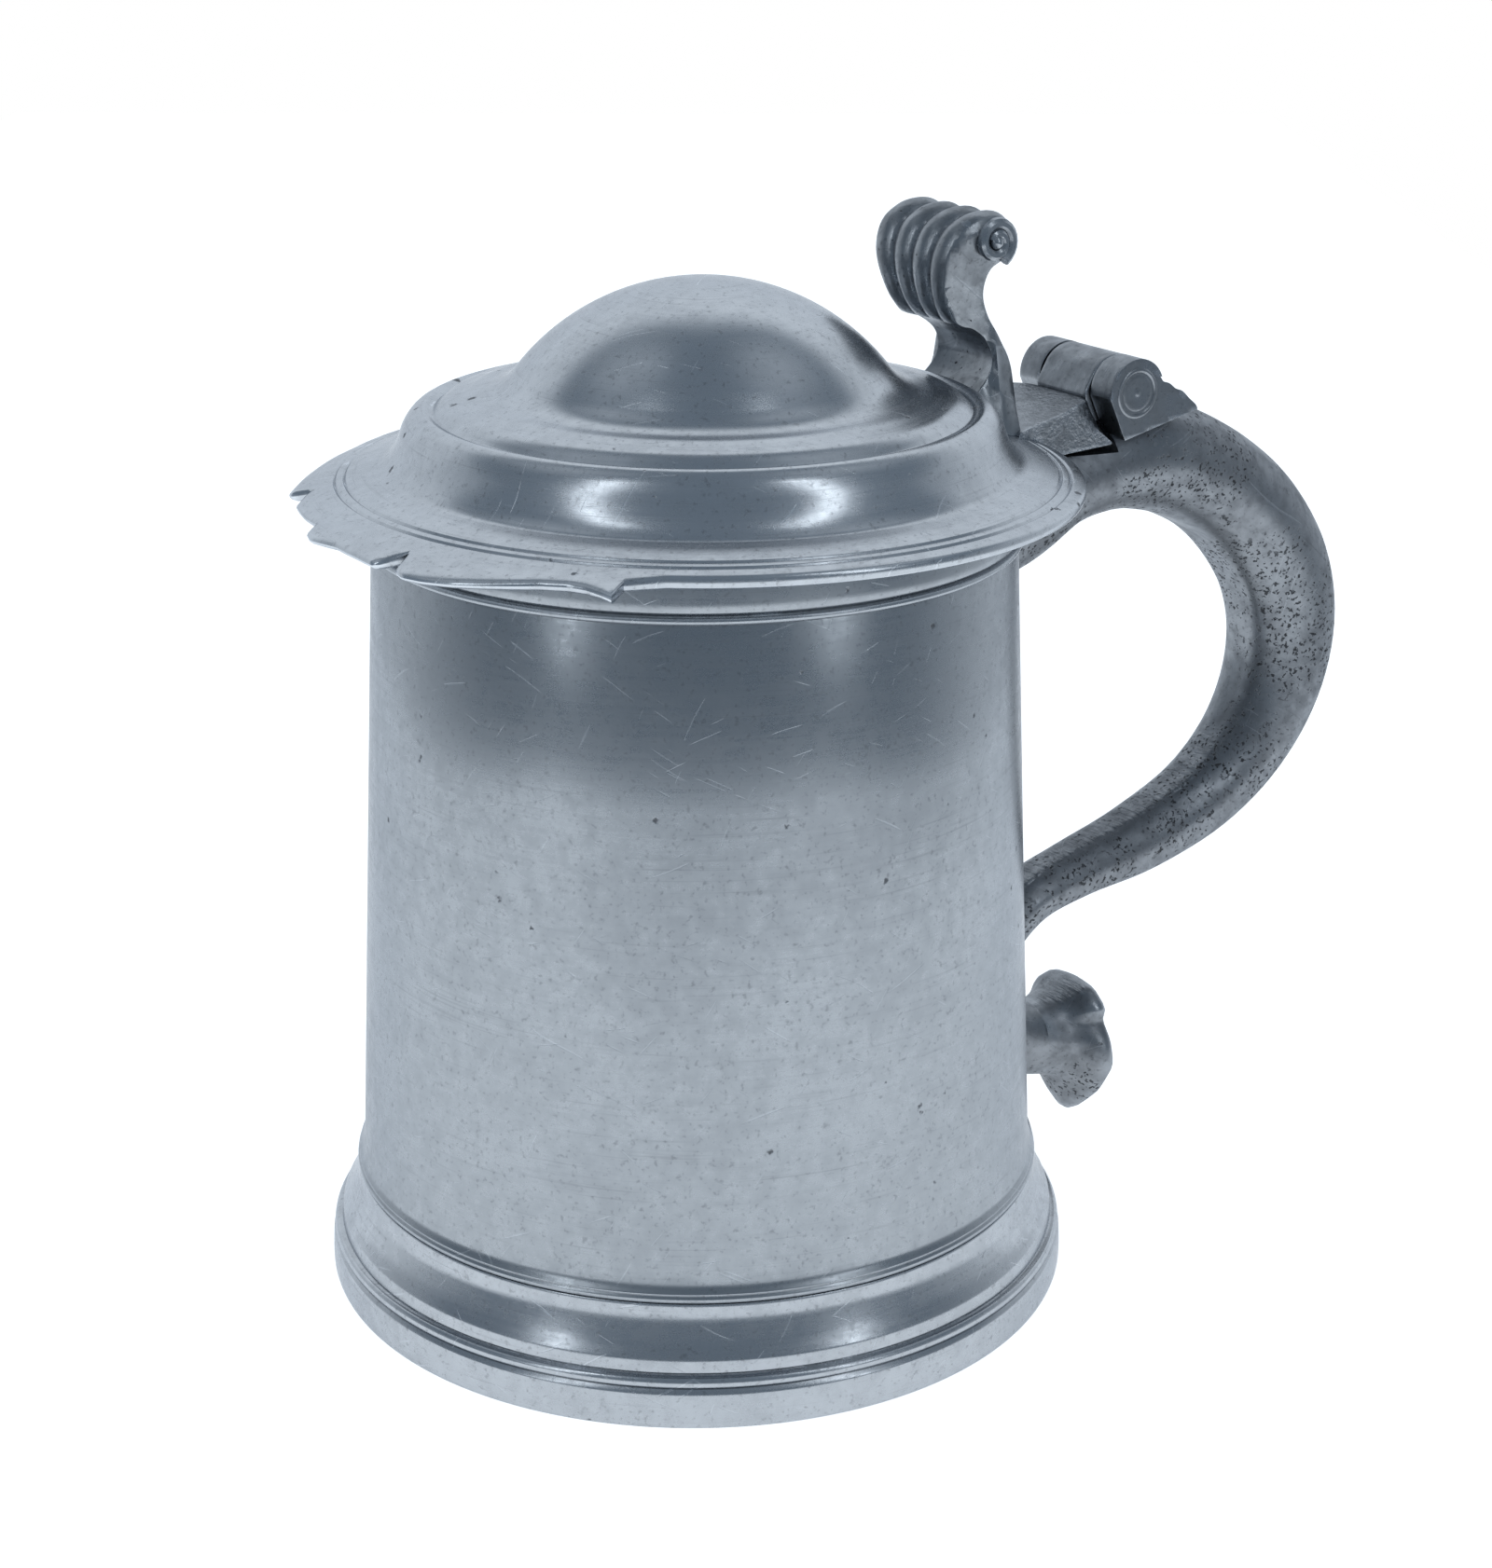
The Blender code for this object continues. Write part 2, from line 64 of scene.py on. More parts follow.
MM = 0.001
Point = tuple[float, ...]
Colour = tuple[float, float, float]

# How dull pewter looks at a flat angle, and how much brighter its worn edges are; the same
# brightening paints highlights along its ridges.
GLANCING_TINT = (0.70, 0.72, 0.75, 1.0)
BRIGHTENED = 1.35

# Points closer than this are one point. A rounded corner takes at most this share of a side.
GAP = 1e-4
CORNER_SHARE = 0.48

# The seat of the hinge's leaves on the handle rises from this far in front of the pin.
SEAT_SLOPE = 0.225
SEAT_START = 6.0

# Longest side of the facets near the edges of the hinge's pieces, and spacing of their slices.
LONGEST_CHORD = 0.8
GRID_SPACING = 1.1


# --------------------------------------------------------------------------- shader tools


class Strand:
    """A shader number; Python arithmetic on it adds Math nodes."""

    def __init__(self, recipe: "Recipe", socket: bpy.types.NodeSocket) -> None:
        """Wraps an output socket of a recipe's tree."""
        self.recipe = recipe
        self.socket = socket

    def _math(self, operation: str, first: Any, second: Any = 0.0) -> "Strand":
        """Adds one Math node and returns its result."""
        node = self.recipe.node("ShaderNodeMath", {"operation": operation}, {0: first, 1: second})
        return Strand(self.recipe, node.outputs[0])

    def __add__(self, other: Any) -> "Strand":
        """Sum."""
        return self._math("ADD", self, other)

    __radd__ = __add__

    def __sub__(self, other: Any) -> "Strand":
        """Difference."""
        return self._math("SUBTRACT", self, other)

    def __rsub__(self, other: Any) -> "Strand":
        """Difference, reflected."""
        return self._math("SUBTRACT", other, self)

    def __mul__(self, other: Any) -> "Strand":
        """Product."""
        return self._math("MULTIPLY", self, other)

    __rmul__ = __mul__

    def __truediv__(self, other: Any) -> "Strand":
        """Quotient."""
        return self._math("DIVIDE", self, other)

    def __pow__(self, other: Any) -> "Strand":
        """Power."""
        return self._math("POWER", self, other)

    def angle_from(self, other: "Strand") -> "Strand":
        """The angle whose sine part is this strand and whose cosine part is the other."""
        return self._math("ARCTAN2", self, other)

    def size(self) -> "Strand":
        """The strand without its sign."""
        return self._math("ABSOLUTE", self)

    def smooth(self, low: float, high: float) -> "Strand":
        """A soft step from 0 to 1.

        Args:
            low: Value at which the step starts.
            high: Value at which it ends; below low, the step falls as the value grows.

        Returns:
            The stepped strand.
        """
        node = self.recipe.node(
            "ShaderNodeMapRange",
            {"interpolation_type": "SMOOTHSTEP"},
            {"Value": self, "From Min": low, "From Max": high},
        )
        return Strand(self.recipe, node.outputs[0])


class Recipe:
    """The node tree of one material or world, with short calls for its nodes."""

    def __init__(self, tree: bpy.types.NodeTree) -> None:
        """Starts from an empty tree."""
        self.tree = tree
        tree.nodes.clear()

    def node(self, kind: str, settings: dict[str, Any], inputs: dict[Any, Any]) -> bpy.types.Node:
        """Adds a node.

        Args:
            kind: The node's type name.
            settings: Its properties, which are set first.
            inputs: Values, strands or sockets for its inputs, by name or number.

        Returns:
            The node.
        """
        made = self.tree.nodes.new(kind)
        for key, value in settings.items():
            setattr(made, key, value)
        for key, value in inputs.items():
            if isinstance(value, Strand):
                value = value.socket
            if isinstance(value, bpy.types.NodeSocket):
                self.tree.links.new(value, made.inputs[key])
            else:
                made.inputs[key].default_value = value
        return made

    def combine(self, x: Any, y: Any, z: Any) -> bpy.types.NodeSocket:
        """A vector of three strands or numbers."""
        return self.node("ShaderNodeCombineXYZ", {}, {0: x, 1: y, 2: z}).outputs[0]

    def split(self, vector: bpy.types.NodeSocket) -> tuple[Strand, Strand, Strand]:
        """The three parts of a vector."""
        x, y, z = self.node("ShaderNodeSeparateXYZ", {}, {0: vector}).outputs
        return Strand(self, x), Strand(self, y), Strand(self, z)

    def vector_math(
        self, operation: str, inputs: dict[Any, Any], result: str = "Vector"
    ) -> bpy.types.NodeSocket:
        """Adds one Vector Math node.

        Args:
            operation: What it does.
            inputs: Its inputs, by name or number.
            result: The output that is wanted.

        Returns:
            That output.
        """
        return self.node("ShaderNodeVectorMath", {"operation": operation}, inputs).outputs[result]

    def texture_place(self, output: str) -> bpy.types.NodeSocket:
        """One output of the Texture Coordinate node."""
        return self.node("ShaderNodeTexCoord", {}, {}).outputs[output]

    def noise(self, vector: bpy.types.NodeSocket, scale: float, detail: float = 2.0) -> Strand:
        """Smooth noise from 0 to 1 at a number of features per unit of the vector."""
        settings = {"Vector": vector, "Scale": scale, "Detail": detail, "Roughness": 0.55}
        return Strand(self, self.node("ShaderNodeTexNoise", {}, settings).outputs[0])

    def cells(self, vector: bpy.types.NodeSocket, scale: float) -> tuple[Strand, Strand]:
        """Distance to the nearest of scattered points, and that point's own random number.

        Args:
            vector: Where the points are scattered.
            scale: Points per unit of the vector.

        Returns:
            The distance and the number.
        """
        made = self.node("ShaderNodeTexVoronoi", {}, {"Vector": vector, "Scale": scale})
        parts = self.node("ShaderNodeSeparateColor", {}, {0: made.outputs["Color"]})
        return Strand(self, made.outputs["Distance"]), Strand(self, parts.outputs[0])

    def mix(self, factor: Any, first: Any, second: Any) -> bpy.types.NodeSocket:
        """A colour between two colours.

        Args:
            factor: Share of the second colour.
            first: A colour or a socket.
            second: A colour or a socket.

        Returns:
            The mixed colour.
        """
        ends = [(*c, 1.0) if isinstance(c, tuple) and len(c) == 3 else c for c in (first, second)]
        made = self.node(
            "ShaderNodeMix", {"data_type": "RGBA"}, {0: factor, 6: ends[0], 7: ends[1]}
        )
        return made.outputs[2]

    def relief(self, height: Strand) -> bpy.types.NodeSocket:
        """The normal of a surface with a height in millimetres."""
        heights = {"Height": height * MM, "Distance": 1.0, "Strength": 1.0}
        return self.node("ShaderNodeBump", {}, heights).outputs[0]

    def metal(self, inputs: dict[str, Any]) -> None:
        """Ends the tree in a metal surface with the given inputs."""
        shader = self.node("ShaderNodeBsdfPrincipled", {}, {"Metallic": 1.0, **inputs})
        self.node("ShaderNodeOutputMaterial", {}, {"Surface": shader.outputs[0]})


@dataclass(frozen=True)
class Spot:
    """The surface point in millimetres from a piece's turning axis."""

    x: Strand
    y: Strand
    z: Strand
    vector: bpy.types.NodeSocket


class Grain(Enum):
    """The direction in which a tool left its marks."""

    TURNED_WALL = "rings up a wall"
    TURNED_FACE = "rings across a lid"
    AROUND_PIN = "rings round the hinge pin"
    CAST = "sand-cast skin"


@dataclass(frozen=True)
class PewterFinish:
    """Old pewter: its polish, its patina, the marks of its making and use, painted shade in its
    grooves and painted highlights on its ridges.

    Depths are in millimetres. Counts are in marks per millimetre.
    """

    name: str
    polished: Colour = (0.385, 0.412, 0.443)
    patina: Colour = (0.255, 0.275, 0.30)
    stain_and_groove_shade: Colour = (0.10, 0.105, 0.115)
    gloss: float = 0.26
    dullness: float = 0.17
    grain: Grain = Grain.CAST
    grain_depth: float = 0.004
    grain_count: float = 1.7
    pit_depth: float = 0.05
    pit_count: float = 0.5
    pit_size: float = 0.42
    pit_cover: float = 0.35
    skin_depth: float = 0.004
    skin_count: float = 1.2
    wobble_depth: float = 0.05
    scratch_depth: float = 0.012
    corrosion: float = 0.0
    patchiness: float = 0.7
    filed_depth: float = 0.0
    centre_x: float = 0.0

    def place(self, recipe: Recipe) -> Spot:
        """The surface point.

        Args:
            recipe: The material's nodes.

        Returns:
            The point, with the turning axis at zero.
        """
        where = recipe.texture_place("Object")
        moved = recipe.vector_math("SUBTRACT", {0: where, 1: (self.centre_x * MM, 0, 0)})
        scaled = recipe.vector_math("SCALE", {0: moved, "Scale": 1 / MM})
        return Spot(*recipe.split(scaled), scaled)

    def tool_lines(self, recipe: Recipe, spot: Spot) -> Strand:
        """Fine lines left by the turning tool, from 0 to 1.

        Args:
            recipe: The material's nodes.
            spot: The surface point.

        Returns:
            The lines' height.
        """
        x, y, z = spot.x, spot.y, spot.z
        drift, finer = 0.02, 2.3
        if self.grain is Grain.TURNED_WALL:
            across = z
        elif self.grain is Grain.TURNED_FACE:
            across = (x * x + y * y) ** 0.5 - z
        elif self.grain is Grain.AROUND_PIN:
            across = y
        else:
            across = x * 0.5 + z * 0.7 + y * 0.3
        start = recipe.combine(x * drift, y * drift, across)
        turned_start = recipe.combine(y * drift, x * drift, across)
        coarse = recipe.noise(start, self.grain_count, 3.0)
        fine = recipe.noise(turned_start, self.grain_count * finer, 1.0)
        return coarse * 0.6 + fine * 0.4

    def scratches(self, recipe: Recipe, spot: Spot) -> Strand:
        """Sparse scratches in three directions, from 0 to 1.

        Args:
            recipe: The material's nodes.
            spot: The surface point.

        Returns:
            1 inside a scratch and 0 elsewhere.
        """
        x, y, z = spot.x, spot.y, spot.z
        wall_r, stretch, bend_reach, edge = 55.0, 0.045, 14.0, 0.03
        if self.grain is Grain.TURNED_WALL:
            u, v = y.angle_from(0 - x) * wall_r, z
        else:
            u, v = x + z * 0.4, y + z * 0.6
        total = None
        for turn, count, limit in ((0.5, 1.9, 0.735), (2.1, 2.4, 0.745), (2.75, 1.5, 0.73)):
            along = u * cos(turn) + v * sin(turn)
            across = v * cos(turn) - u * sin(turn)
            bend = recipe.noise(recipe.combine(u, v, turn), 0.02) * bend_reach
            path = recipe.combine(along * stretch, across + bend, turn * 7)
            line = recipe.noise(path, count, 1.0).smooth(limit, limit + edge)
            total = line if total is None else total + line
        return total

    def pits(self, recipe: Recipe, spot: Spot) -> Strand:
        """Casting and corrosion pits that gather in patches, from 0 to 1.

        Args:
            recipe: The material's nodes.
            spot: The surface point.

        Returns:
            1 at the bottom of a pit and 0 elsewhere.
        """
        where = spot.vector
        shake_count, shake_reach, pit_edge = 1.6, 1.1, 0.16
        shake = recipe.node(
            "ShaderNodeTexNoise", {}, {"Vector": where, "Scale": shake_count, "Detail": 2.0}
        ).outputs["Color"]
        shaken = recipe.vector_math("SCALE", {0: shake, "Scale": shake_reach})
        bent = recipe.vector_math("ADD", {0: where, 1: shaken})
        patches = recipe.noise(where, 0.055, 3.0).smooth(
            0.62 - self.pit_cover * 0.3, 0.72 - self.pit_cover * 0.25
        )
        distance, own = recipe.cells(bent, self.pit_count)
        size = own * self.pit_size * patches
        found = (size - distance).smooth(0.0, pit_edge)
        if self.corrosion:
            eaten = recipe.noise(where, 1.2, 5.0).smooth(0.56, 0.64) * patches
            found = found + eaten * self.corrosion
        return found.smooth(0.0, 1.0)

    def file_marks(self, recipe: Recipe, spot: Spot) -> Strand:
        """Cross marks of a file on the handle's upward faces below its bow, from 0 to 1.

        Args:
            recipe: The material's nodes.
            spot: The surface point.

        Returns:
            The marks' height, 0 away from those faces.
        """
        tilt = radians(30)
        facing = recipe.texture_place("Normal")
        inward = recipe.vector_math(
            "DOT_PRODUCT", {0: facing, 1: (-sin(tilt), 0.0, cos(tilt))}, "Value"
        )
        along = spot.x * cos(tilt) + spot.z * sin(tilt)
        marks = recipe.noise(recipe.combine(along, spot.y * 0.12, 0.0), 0.95, 3.0)
        upward = Strand(recipe, inward).smooth(0.90, 0.97)
        return marks.smooth(0.3, 0.7) * upward * spot.z.smooth(80.0, 66.0)

    def material(self) -> bpy.types.Material:
        """The finish as a material, made once.

        Returns:
            The material.
        """
        found = bpy.data.materials.get(self.name)
        if found:
            return found
        made = bpy.data.materials.new(self.name)
        made.use_nodes = True
        recipe = Recipe(made.node_tree)
        spot = self.place(recipe)
        where = spot.vector
        lines = self.tool_lines(recipe, spot)
        scratched = self.scratches(recipe, spot)
        pitted = self.pits(recipe, spot)
        cloud = recipe.noise(where, 0.045, 6.0)
        mottle = recipe.noise(where, 0.35, 5.0)
        skin = recipe.noise(where, self.skin_count, 4.0)
        wobble = recipe.noise(where, 0.035, 1.0)

        aged = (cloud * 0.45 + mottle * 0.55).smooth(0.34, 0.68)
        edge = Strand(recipe, recipe.node("ShaderNodeNewGeometry", {}, {}).outputs["Pointiness"])
        # Ridges (high pointiness) are lightened: partly real wear, partly a painted highlight
        # along the edges.
        ridge_wear_and_highlight = edge.smooth(0.51, 0.56)
        # Grooves and creases (low pointiness) are darkened: painted shade.
        groove_shade = edge.smooth(0.488, 0.445)
        bright = tuple(min(1.0, part * BRIGHTENED) for part in self.polished)

        colour = recipe.mix(aged * self.patchiness, self.polished, self.patina)
        for share, tint in (
            (skin.smooth(0.56, 0.72) * 0.35, self.stain_and_groove_shade),
            (lines.smooth(0.56, 0.74) * 0.22, self.stain_and_groove_shade),
            # painted shade in grooves and creases
            (groove_shade * 0.7, self.stain_and_groove_shade),
            # worn edges and a painted highlight along ridges
            (ridge_wear_and_highlight * 0.7, bright),
            (scratched.smooth(0.0, 1.4) * 0.5, bright),
            (pitted * 0.85, self.stain_and_groove_shade),
        ):
            colour = recipe.mix(share, colour, tint)
        rough = self.gloss + aged * self.dullness + (lines - 0.5) * 0.16 + (skin - 0.5) * 0.10
        rough = rough + pitted * 0.25 - ridge_wear_and_highlight * 0.05

        height = (lines - 0.5) * self.grain_depth + (skin - 0.5) * self.skin_depth
        height = height + (wobble - 0.5) * self.wobble_depth
        height = height - scratched * self.scratch_depth - pitted * self.pit_depth
        if self.filed_depth:
            height = height + self.file_marks(recipe, spot) * self.filed_depth

        recipe.metal(
            {
                "Base Color": colour,
                "Roughness": rough,
                "Specular Tint": GLANCING_TINT,
                "Normal": recipe.relief(height),
            }
        )
        return made


@dataclass(frozen=True)
class IronFinish:
    """Dull forged iron; its depth is in millimetres."""

    name: str = "forged_iron"
    dark: Colour = (0.10, 0.10, 0.11)
    light: Colour = (0.22, 0.21, 0.20)
    count: float = 1.5
    depth: float = 0.03

    def material(self) -> bpy.types.Material:
        """The finish as a material.

        Returns:
            The material.
        """
        made = bpy.data.materials.new(self.name)
        made.use_nodes = True
        recipe = Recipe(made.node_tree)
        patches = recipe.noise(recipe.texture_place("Object"), self.count / MM, 4.0)
        recipe.metal(
            {
                "Base Color": recipe.mix(patches, self.dark, self.light),
                "Roughness": 0.4 + patches * 0.3,
                "Normal": recipe.relief(patches * self.depth),
            }
        )
        return made


# --------------------------------------------------------------------------- mesh tools


def arc(centre: Point, radius: float, start: float, end: float, steps: int) -> list[Point]:
    """Points of a circular arc.

    Args:
        centre: Its centre in the profile's plane.
        radius: Its radius.
        start: First angle in degrees.
        end: Last angle in degrees.
        steps: Number of chords.

    Returns:
        The points, ends included.
    """
    turns = [radians(start + (end - start) * i / steps) for i in range(steps + 1)]
    return [(centre[0] + radius * cos(a), centre[1] + radius * sin(a)) for a in turns]


def softened(points: Sequence[Point], closed: bool = False, steps: int = 3) -> list[Point]:
    """Rounds the corners of an outline.

    Args:
        points: Corners; a third number is the length over which a corner is rounded.
        closed: Whether the last corner joins the first.
        steps: Chords in each rounded corner.

    Returns:
        The outline's points.
    """
    found: list[Point] = []
    count = len(points)
    for i, point in enumerate(points):
        here = Vector(point[:2])
        reach = point[2] if len(point) > 2 else 0.0
        ends = not closed and i in (0, count - 1)
        if not reach or ends:
            found.append(tuple(here))
            continue
        before = Vector(points[i - 1][:2]) - here
        after = Vector(points[(i + 1) % count][:2]) - here
        first = here + before.normalized() * min(reach, CORNER_SHARE * before.length)
        last = here + after.normalized() * min(reach, CORNER_SHARE * after.length)
        for k in range(steps + 1):
            t = k / steps
            found.append(tuple(first * (1 - t) ** 2 + here * 2 * t * (1 - t) + last * t * t))
    return found


def spline(stations: Sequence[Point], between: int, closed: bool = False) -> list[Point]:
    """A smooth path through rows of numbers.

    Args:
        stations: The rows.
        between: Points for each stretch between two rows.
        closed: Whether the path returns to its start.

    Returns:
        The path's rows.
    """
    count = len(stations)
    if closed:
        rows = [stations[-1], *stations, stations[0], stations[1]]
    else:
        rows = [stations[0], *stations, stations[-1]]

    def eased_value(t: float, a: float, b: float, c: float, d: float) -> float:
        """A value between b and c, with a before them and d after them."""
        curve = 2 * a - 5 * b + 4 * c - d + t * (3 * (b - c) + d - a)
        return b + 0.5 * t * (c - a + t * curve)

    found = []
    for i in range(count if closed else count - 1):
        columns = list(zip(*rows[i : i + 4]))
        for step in range(between):
            t = step / between
            found.append(tuple(eased_value(t, *column) for column in columns))
    return found if closed else [*found, tuple(stations[-1])]


def evened(points: Sequence[Point], longest: float) -> list[Point]:
    """Splits the long chords of a closed outline.

    Args:
        points: The outline's points.
        longest: Longest chord that stays.

    Returns:
        The outline with more points.
    """
    found: list[Point] = []
    for (x0, z0), (x1, z1) in zip(points, [*points[1:], points[0]]):
        parts = max(1, round(hypot(x1 - x0, z1 - z0) / longest))
        found += [(x0 + (x1 - x0) * i / parts, z0 + (z1 - z0) * i / parts) for i in range(parts)]
    return found


def turned(
    profile: Sequence[Point], axis_x: float, steps: int, closed: bool = True
) -> bmesh.types.BMesh:
    """Spins a profile of (radius, height) about a vertical axis.

    Args:
        profile: The profile's points.
        axis_x: Where the axis stands.
        steps: Steps round the circle.
        closed: Whether the profile's last point joins its first.

    Returns:
        The turned mesh, in millimetres.
    """
    mesh = bmesh.new()
    verts = [mesh.verts.new((axis_x + r, 0, z)) for r, z in profile]
    pairs = list(zip(verts, verts[1:])) + ([(verts[-1], verts[0])] if closed else [])
    edges = [mesh.edges.new(pair) for pair in pairs]
    bmesh.ops.spin(
        mesh,
        geom=verts + edges,
        cent=(axis_x, 0, 0),
        axis=(0, 0, 1),
        angle=2 * pi,
        steps=steps,
        use_merge=True,
    )
    return mesh


def sliced_prism(
    outline: Sequence[Point], low_y: float, high_y: float, slices: int
) -> bmesh.types.BMesh:
    """Extrudes an outline of (x, z) points along Y in even slices.

    Args:
        outline: The outline.
        low_y: Where it starts.
        high_y: Where it ends.
        slices: How many slices it is cut into.

    Returns:
        The closed mesh.
    """
    mesh = bmesh.new()
    face = mesh.faces.new([mesh.verts.new((x, low_y, z)) for x, z in outline])
    for done in range(slices):
        grown = bmesh.ops.extrude_face_region(mesh, geom=[face])["geom"]
        moved = [g for g in grown if isinstance(g, bmesh.types.BMVert)]
        bmesh.ops.translate(mesh, vec=(0, (high_y - low_y) / slices, 0), verts=moved)
        if done:
            mesh.faces.remove(face)
        face = next(g for g in grown if isinstance(g, bmesh.types.BMFace))
    return mesh


def lofted(
    mesh: bmesh.types.BMesh,
    path: Sequence[Vector],
    ring_at: Callable[[int, Vector], Sequence[Vector]],
    ends: tuple[Vector, Vector] | None = None,
) -> None:
    """Bridges rings set along a path into a closed tube.

    Args:
        mesh: The mesh that receives the tube.
        path: The path's points.
        ring_at: Gives a ring's points for a number along the path and the path's direction.
        ends: Directions of the first and last ring, or None for the path's own.
    """
    last = len(path) - 1
    rings = []
    for i in range(last + 1):
        run = (path[min(i + 1, last)] - path[max(i - 1, 0)]).normalized()
        if ends and i in (0, last):
            run = ends[0 if i == 0 else 1]
        ring = [mesh.verts.new(place) for place in ring_at(i, run)]
        rings.append([mesh.edges.new(pair) for pair in zip(ring, ring[1:] + ring[:1])])
    for first, second in zip(rings, rings[1:]):
        bmesh.ops.bridge_loops(mesh, edges=first + second)
    for ring in (rings[0], rings[-1]):
        bmesh.ops.edgeloop_fill(mesh, edges=ring)


def eased(mesh: bmesh.types.BMesh, width: float, angle: float, segments: int = 3) -> None:
    """Bevels the edges that are sharper than an angle.

    Args:
        mesh: The mesh.
        width: The bevel's width.
        angle: Smallest angle, in degrees, of an edge that is bevelled.
        segments: The bevel's segments.
    """
    bmesh.ops.recalc_face_normals(mesh, faces=mesh.faces)
    sharp = [e for e in mesh.edges if e.is_manifold and e.calc_face_angle(0) > radians(angle)]
    bmesh.ops.bevel(
        mesh,
        geom=sharp,
        offset=width,
        offset_type="OFFSET",
        affect="EDGES",
        segments=segments,
        profile=0.5,
        material=-1,
        clamp_overlap=True,
    )


def gridded(mesh: bmesh.types.BMesh, spacing: float) -> None:
    """Slices a block across X and Z, so that its wear stays near its edges.

    Args:
        mesh: The mesh.
        spacing: Distance between two slices.
    """
    for axis in (Vector((1, 0, 0)), Vector((0, 0, 1))):
        reaches = [vert.co.dot(axis) for vert in mesh.verts]
        level = min(reaches) + spacing
        while level < max(reaches):
            bmesh.ops.bisect_plane(
                mesh,
                geom=[*mesh.verts, *mesh.edges, *mesh.faces],
                dist=GAP,
                plane_co=axis * level,
                plane_no=axis,
            )
            level += spacing


def pin_hole(
    mesh: bmesh.types.BMesh, axis: Point, radius: float, start: float, end: float
) -> None:
    """Adds a round rod along Y, which cuts a hole or a recess.

    Args:
        mesh: The mesh that receives it.
        axis: The rod's axis as (x, z).
        radius: Its radius.
        start: Where it starts along Y.
        end: Where it ends along Y.
    """
    place = Matrix.Translation((axis[0], (start + end) / 2, axis[1]))
    bmesh.ops.create_cone(
        mesh,
        cap_ends=True,
        segments=64,
        radius1=radius,
        radius2=radius,
        depth=abs(end - start),
        matrix=place @ Matrix.Rotation(pi / 2, 4, "X"),
    )


def as_object(name: str, mesh: bmesh.types.BMesh) -> bpy.types.Object:
    """Turns a bmesh in millimetres into an object in metres, at the origin.

    Args:
        name: The object's name.
        mesh: The mesh, which is freed.

    Returns:
        The object.
    """
    bmesh.ops.remove_doubles(mesh, verts=mesh.verts, dist=GAP)
    bmesh.ops.recalc_face_normals(mesh, faces=mesh.faces)
    bmesh.ops.scale(mesh, vec=(MM, MM, MM), verts=mesh.verts)
    data = bpy.data.meshes.new(name)
    mesh.to_mesh(data)
    mesh.free()
    made = bpy.data.objects.new(name, data)
    bpy.context.scene.collection.objects.link(made)
    return made


def cut_by(target: bpy.types.Object, *tools: bpy.types.Object) -> None:
    """Cuts objects out of a target, applies the result and removes them.

    Args:
        target: The object that is changed.
        tools: The cutters.
    """
    for tool in tools:
        modifier = target.modifiers.new(tool.name, "BOOLEAN")
        modifier.operation = "DIFFERENCE"
        modifier.solver = "EXACT"
        modifier.object = tool
    graph = bpy.context.evaluated_depsgraph_get()
    data = bpy.data.meshes.new_from_object(target.evaluated_get(graph))
    target.modifiers.clear()
    target.data = data
    for tool in tools:
        bpy.data.objects.remove(tool)


def publish(
    piece: bpy.types.Object,
    finish: PewterFinish | IronFinish,
    body: str,
    stands_for: Sequence[str],
    sharp: float = 35.0,
) -> None:
    """Dresses a piece and fixes it to its body.

    Args:
        piece: The finished piece.
        finish: Its finish.
        body: The body that it rides on.
        stands_for: The CAD nodes that it replaces.
        sharp: Angle in degrees past which an edge stays sharp.
    """
    piece.data.shade_smooth()
    piece.data.set_sharp_from_angle(angle=radians(sharp))
    piece.data.materials.clear()
    piece.data.materials.append(finish.material())
    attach(piece, body)
    if stands_for:
        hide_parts(*stands_for)
    log.info("%s: %d faces, rides on %s", piece.name, len(piece.data.polygons), body)


def span(node: str) -> tuple[Vector, Vector]:
    """A CAD node's lowest and highest corner in millimetres."""
    low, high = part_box(node)
    return low / MM, high / MM


def clamped(value: float) -> float:
    """A number held between 0 and 1."""
    return min(max(value, 0.0), 1.0)


def between_marks(marks: Sequence[Point], place: float) -> float:
    """Reads a table of (place, value) rows along straight lines.

    Args:
        marks: The rows, by rising place.
        place: Where to read it, no further than the last row.

    Returns:
        The value; before the first row it is that row's.
    """
    for (low, start), (high, end) in zip(marks, marks[1:]):
        if place <= high:
            share = max(place - low, 0.0) / (high - low)
            return start + (end - start) * share
    return marks[-1][1]


def seat_rise(x: float, hinge_x: float) -> float:
    """How far the leaves' sloping seat has risen at a place behind the hinge."""
    return SEAT_SLOPE * (x - hinge_x + SEAT_START)


# --------------------------------------------------------------------------- vessel


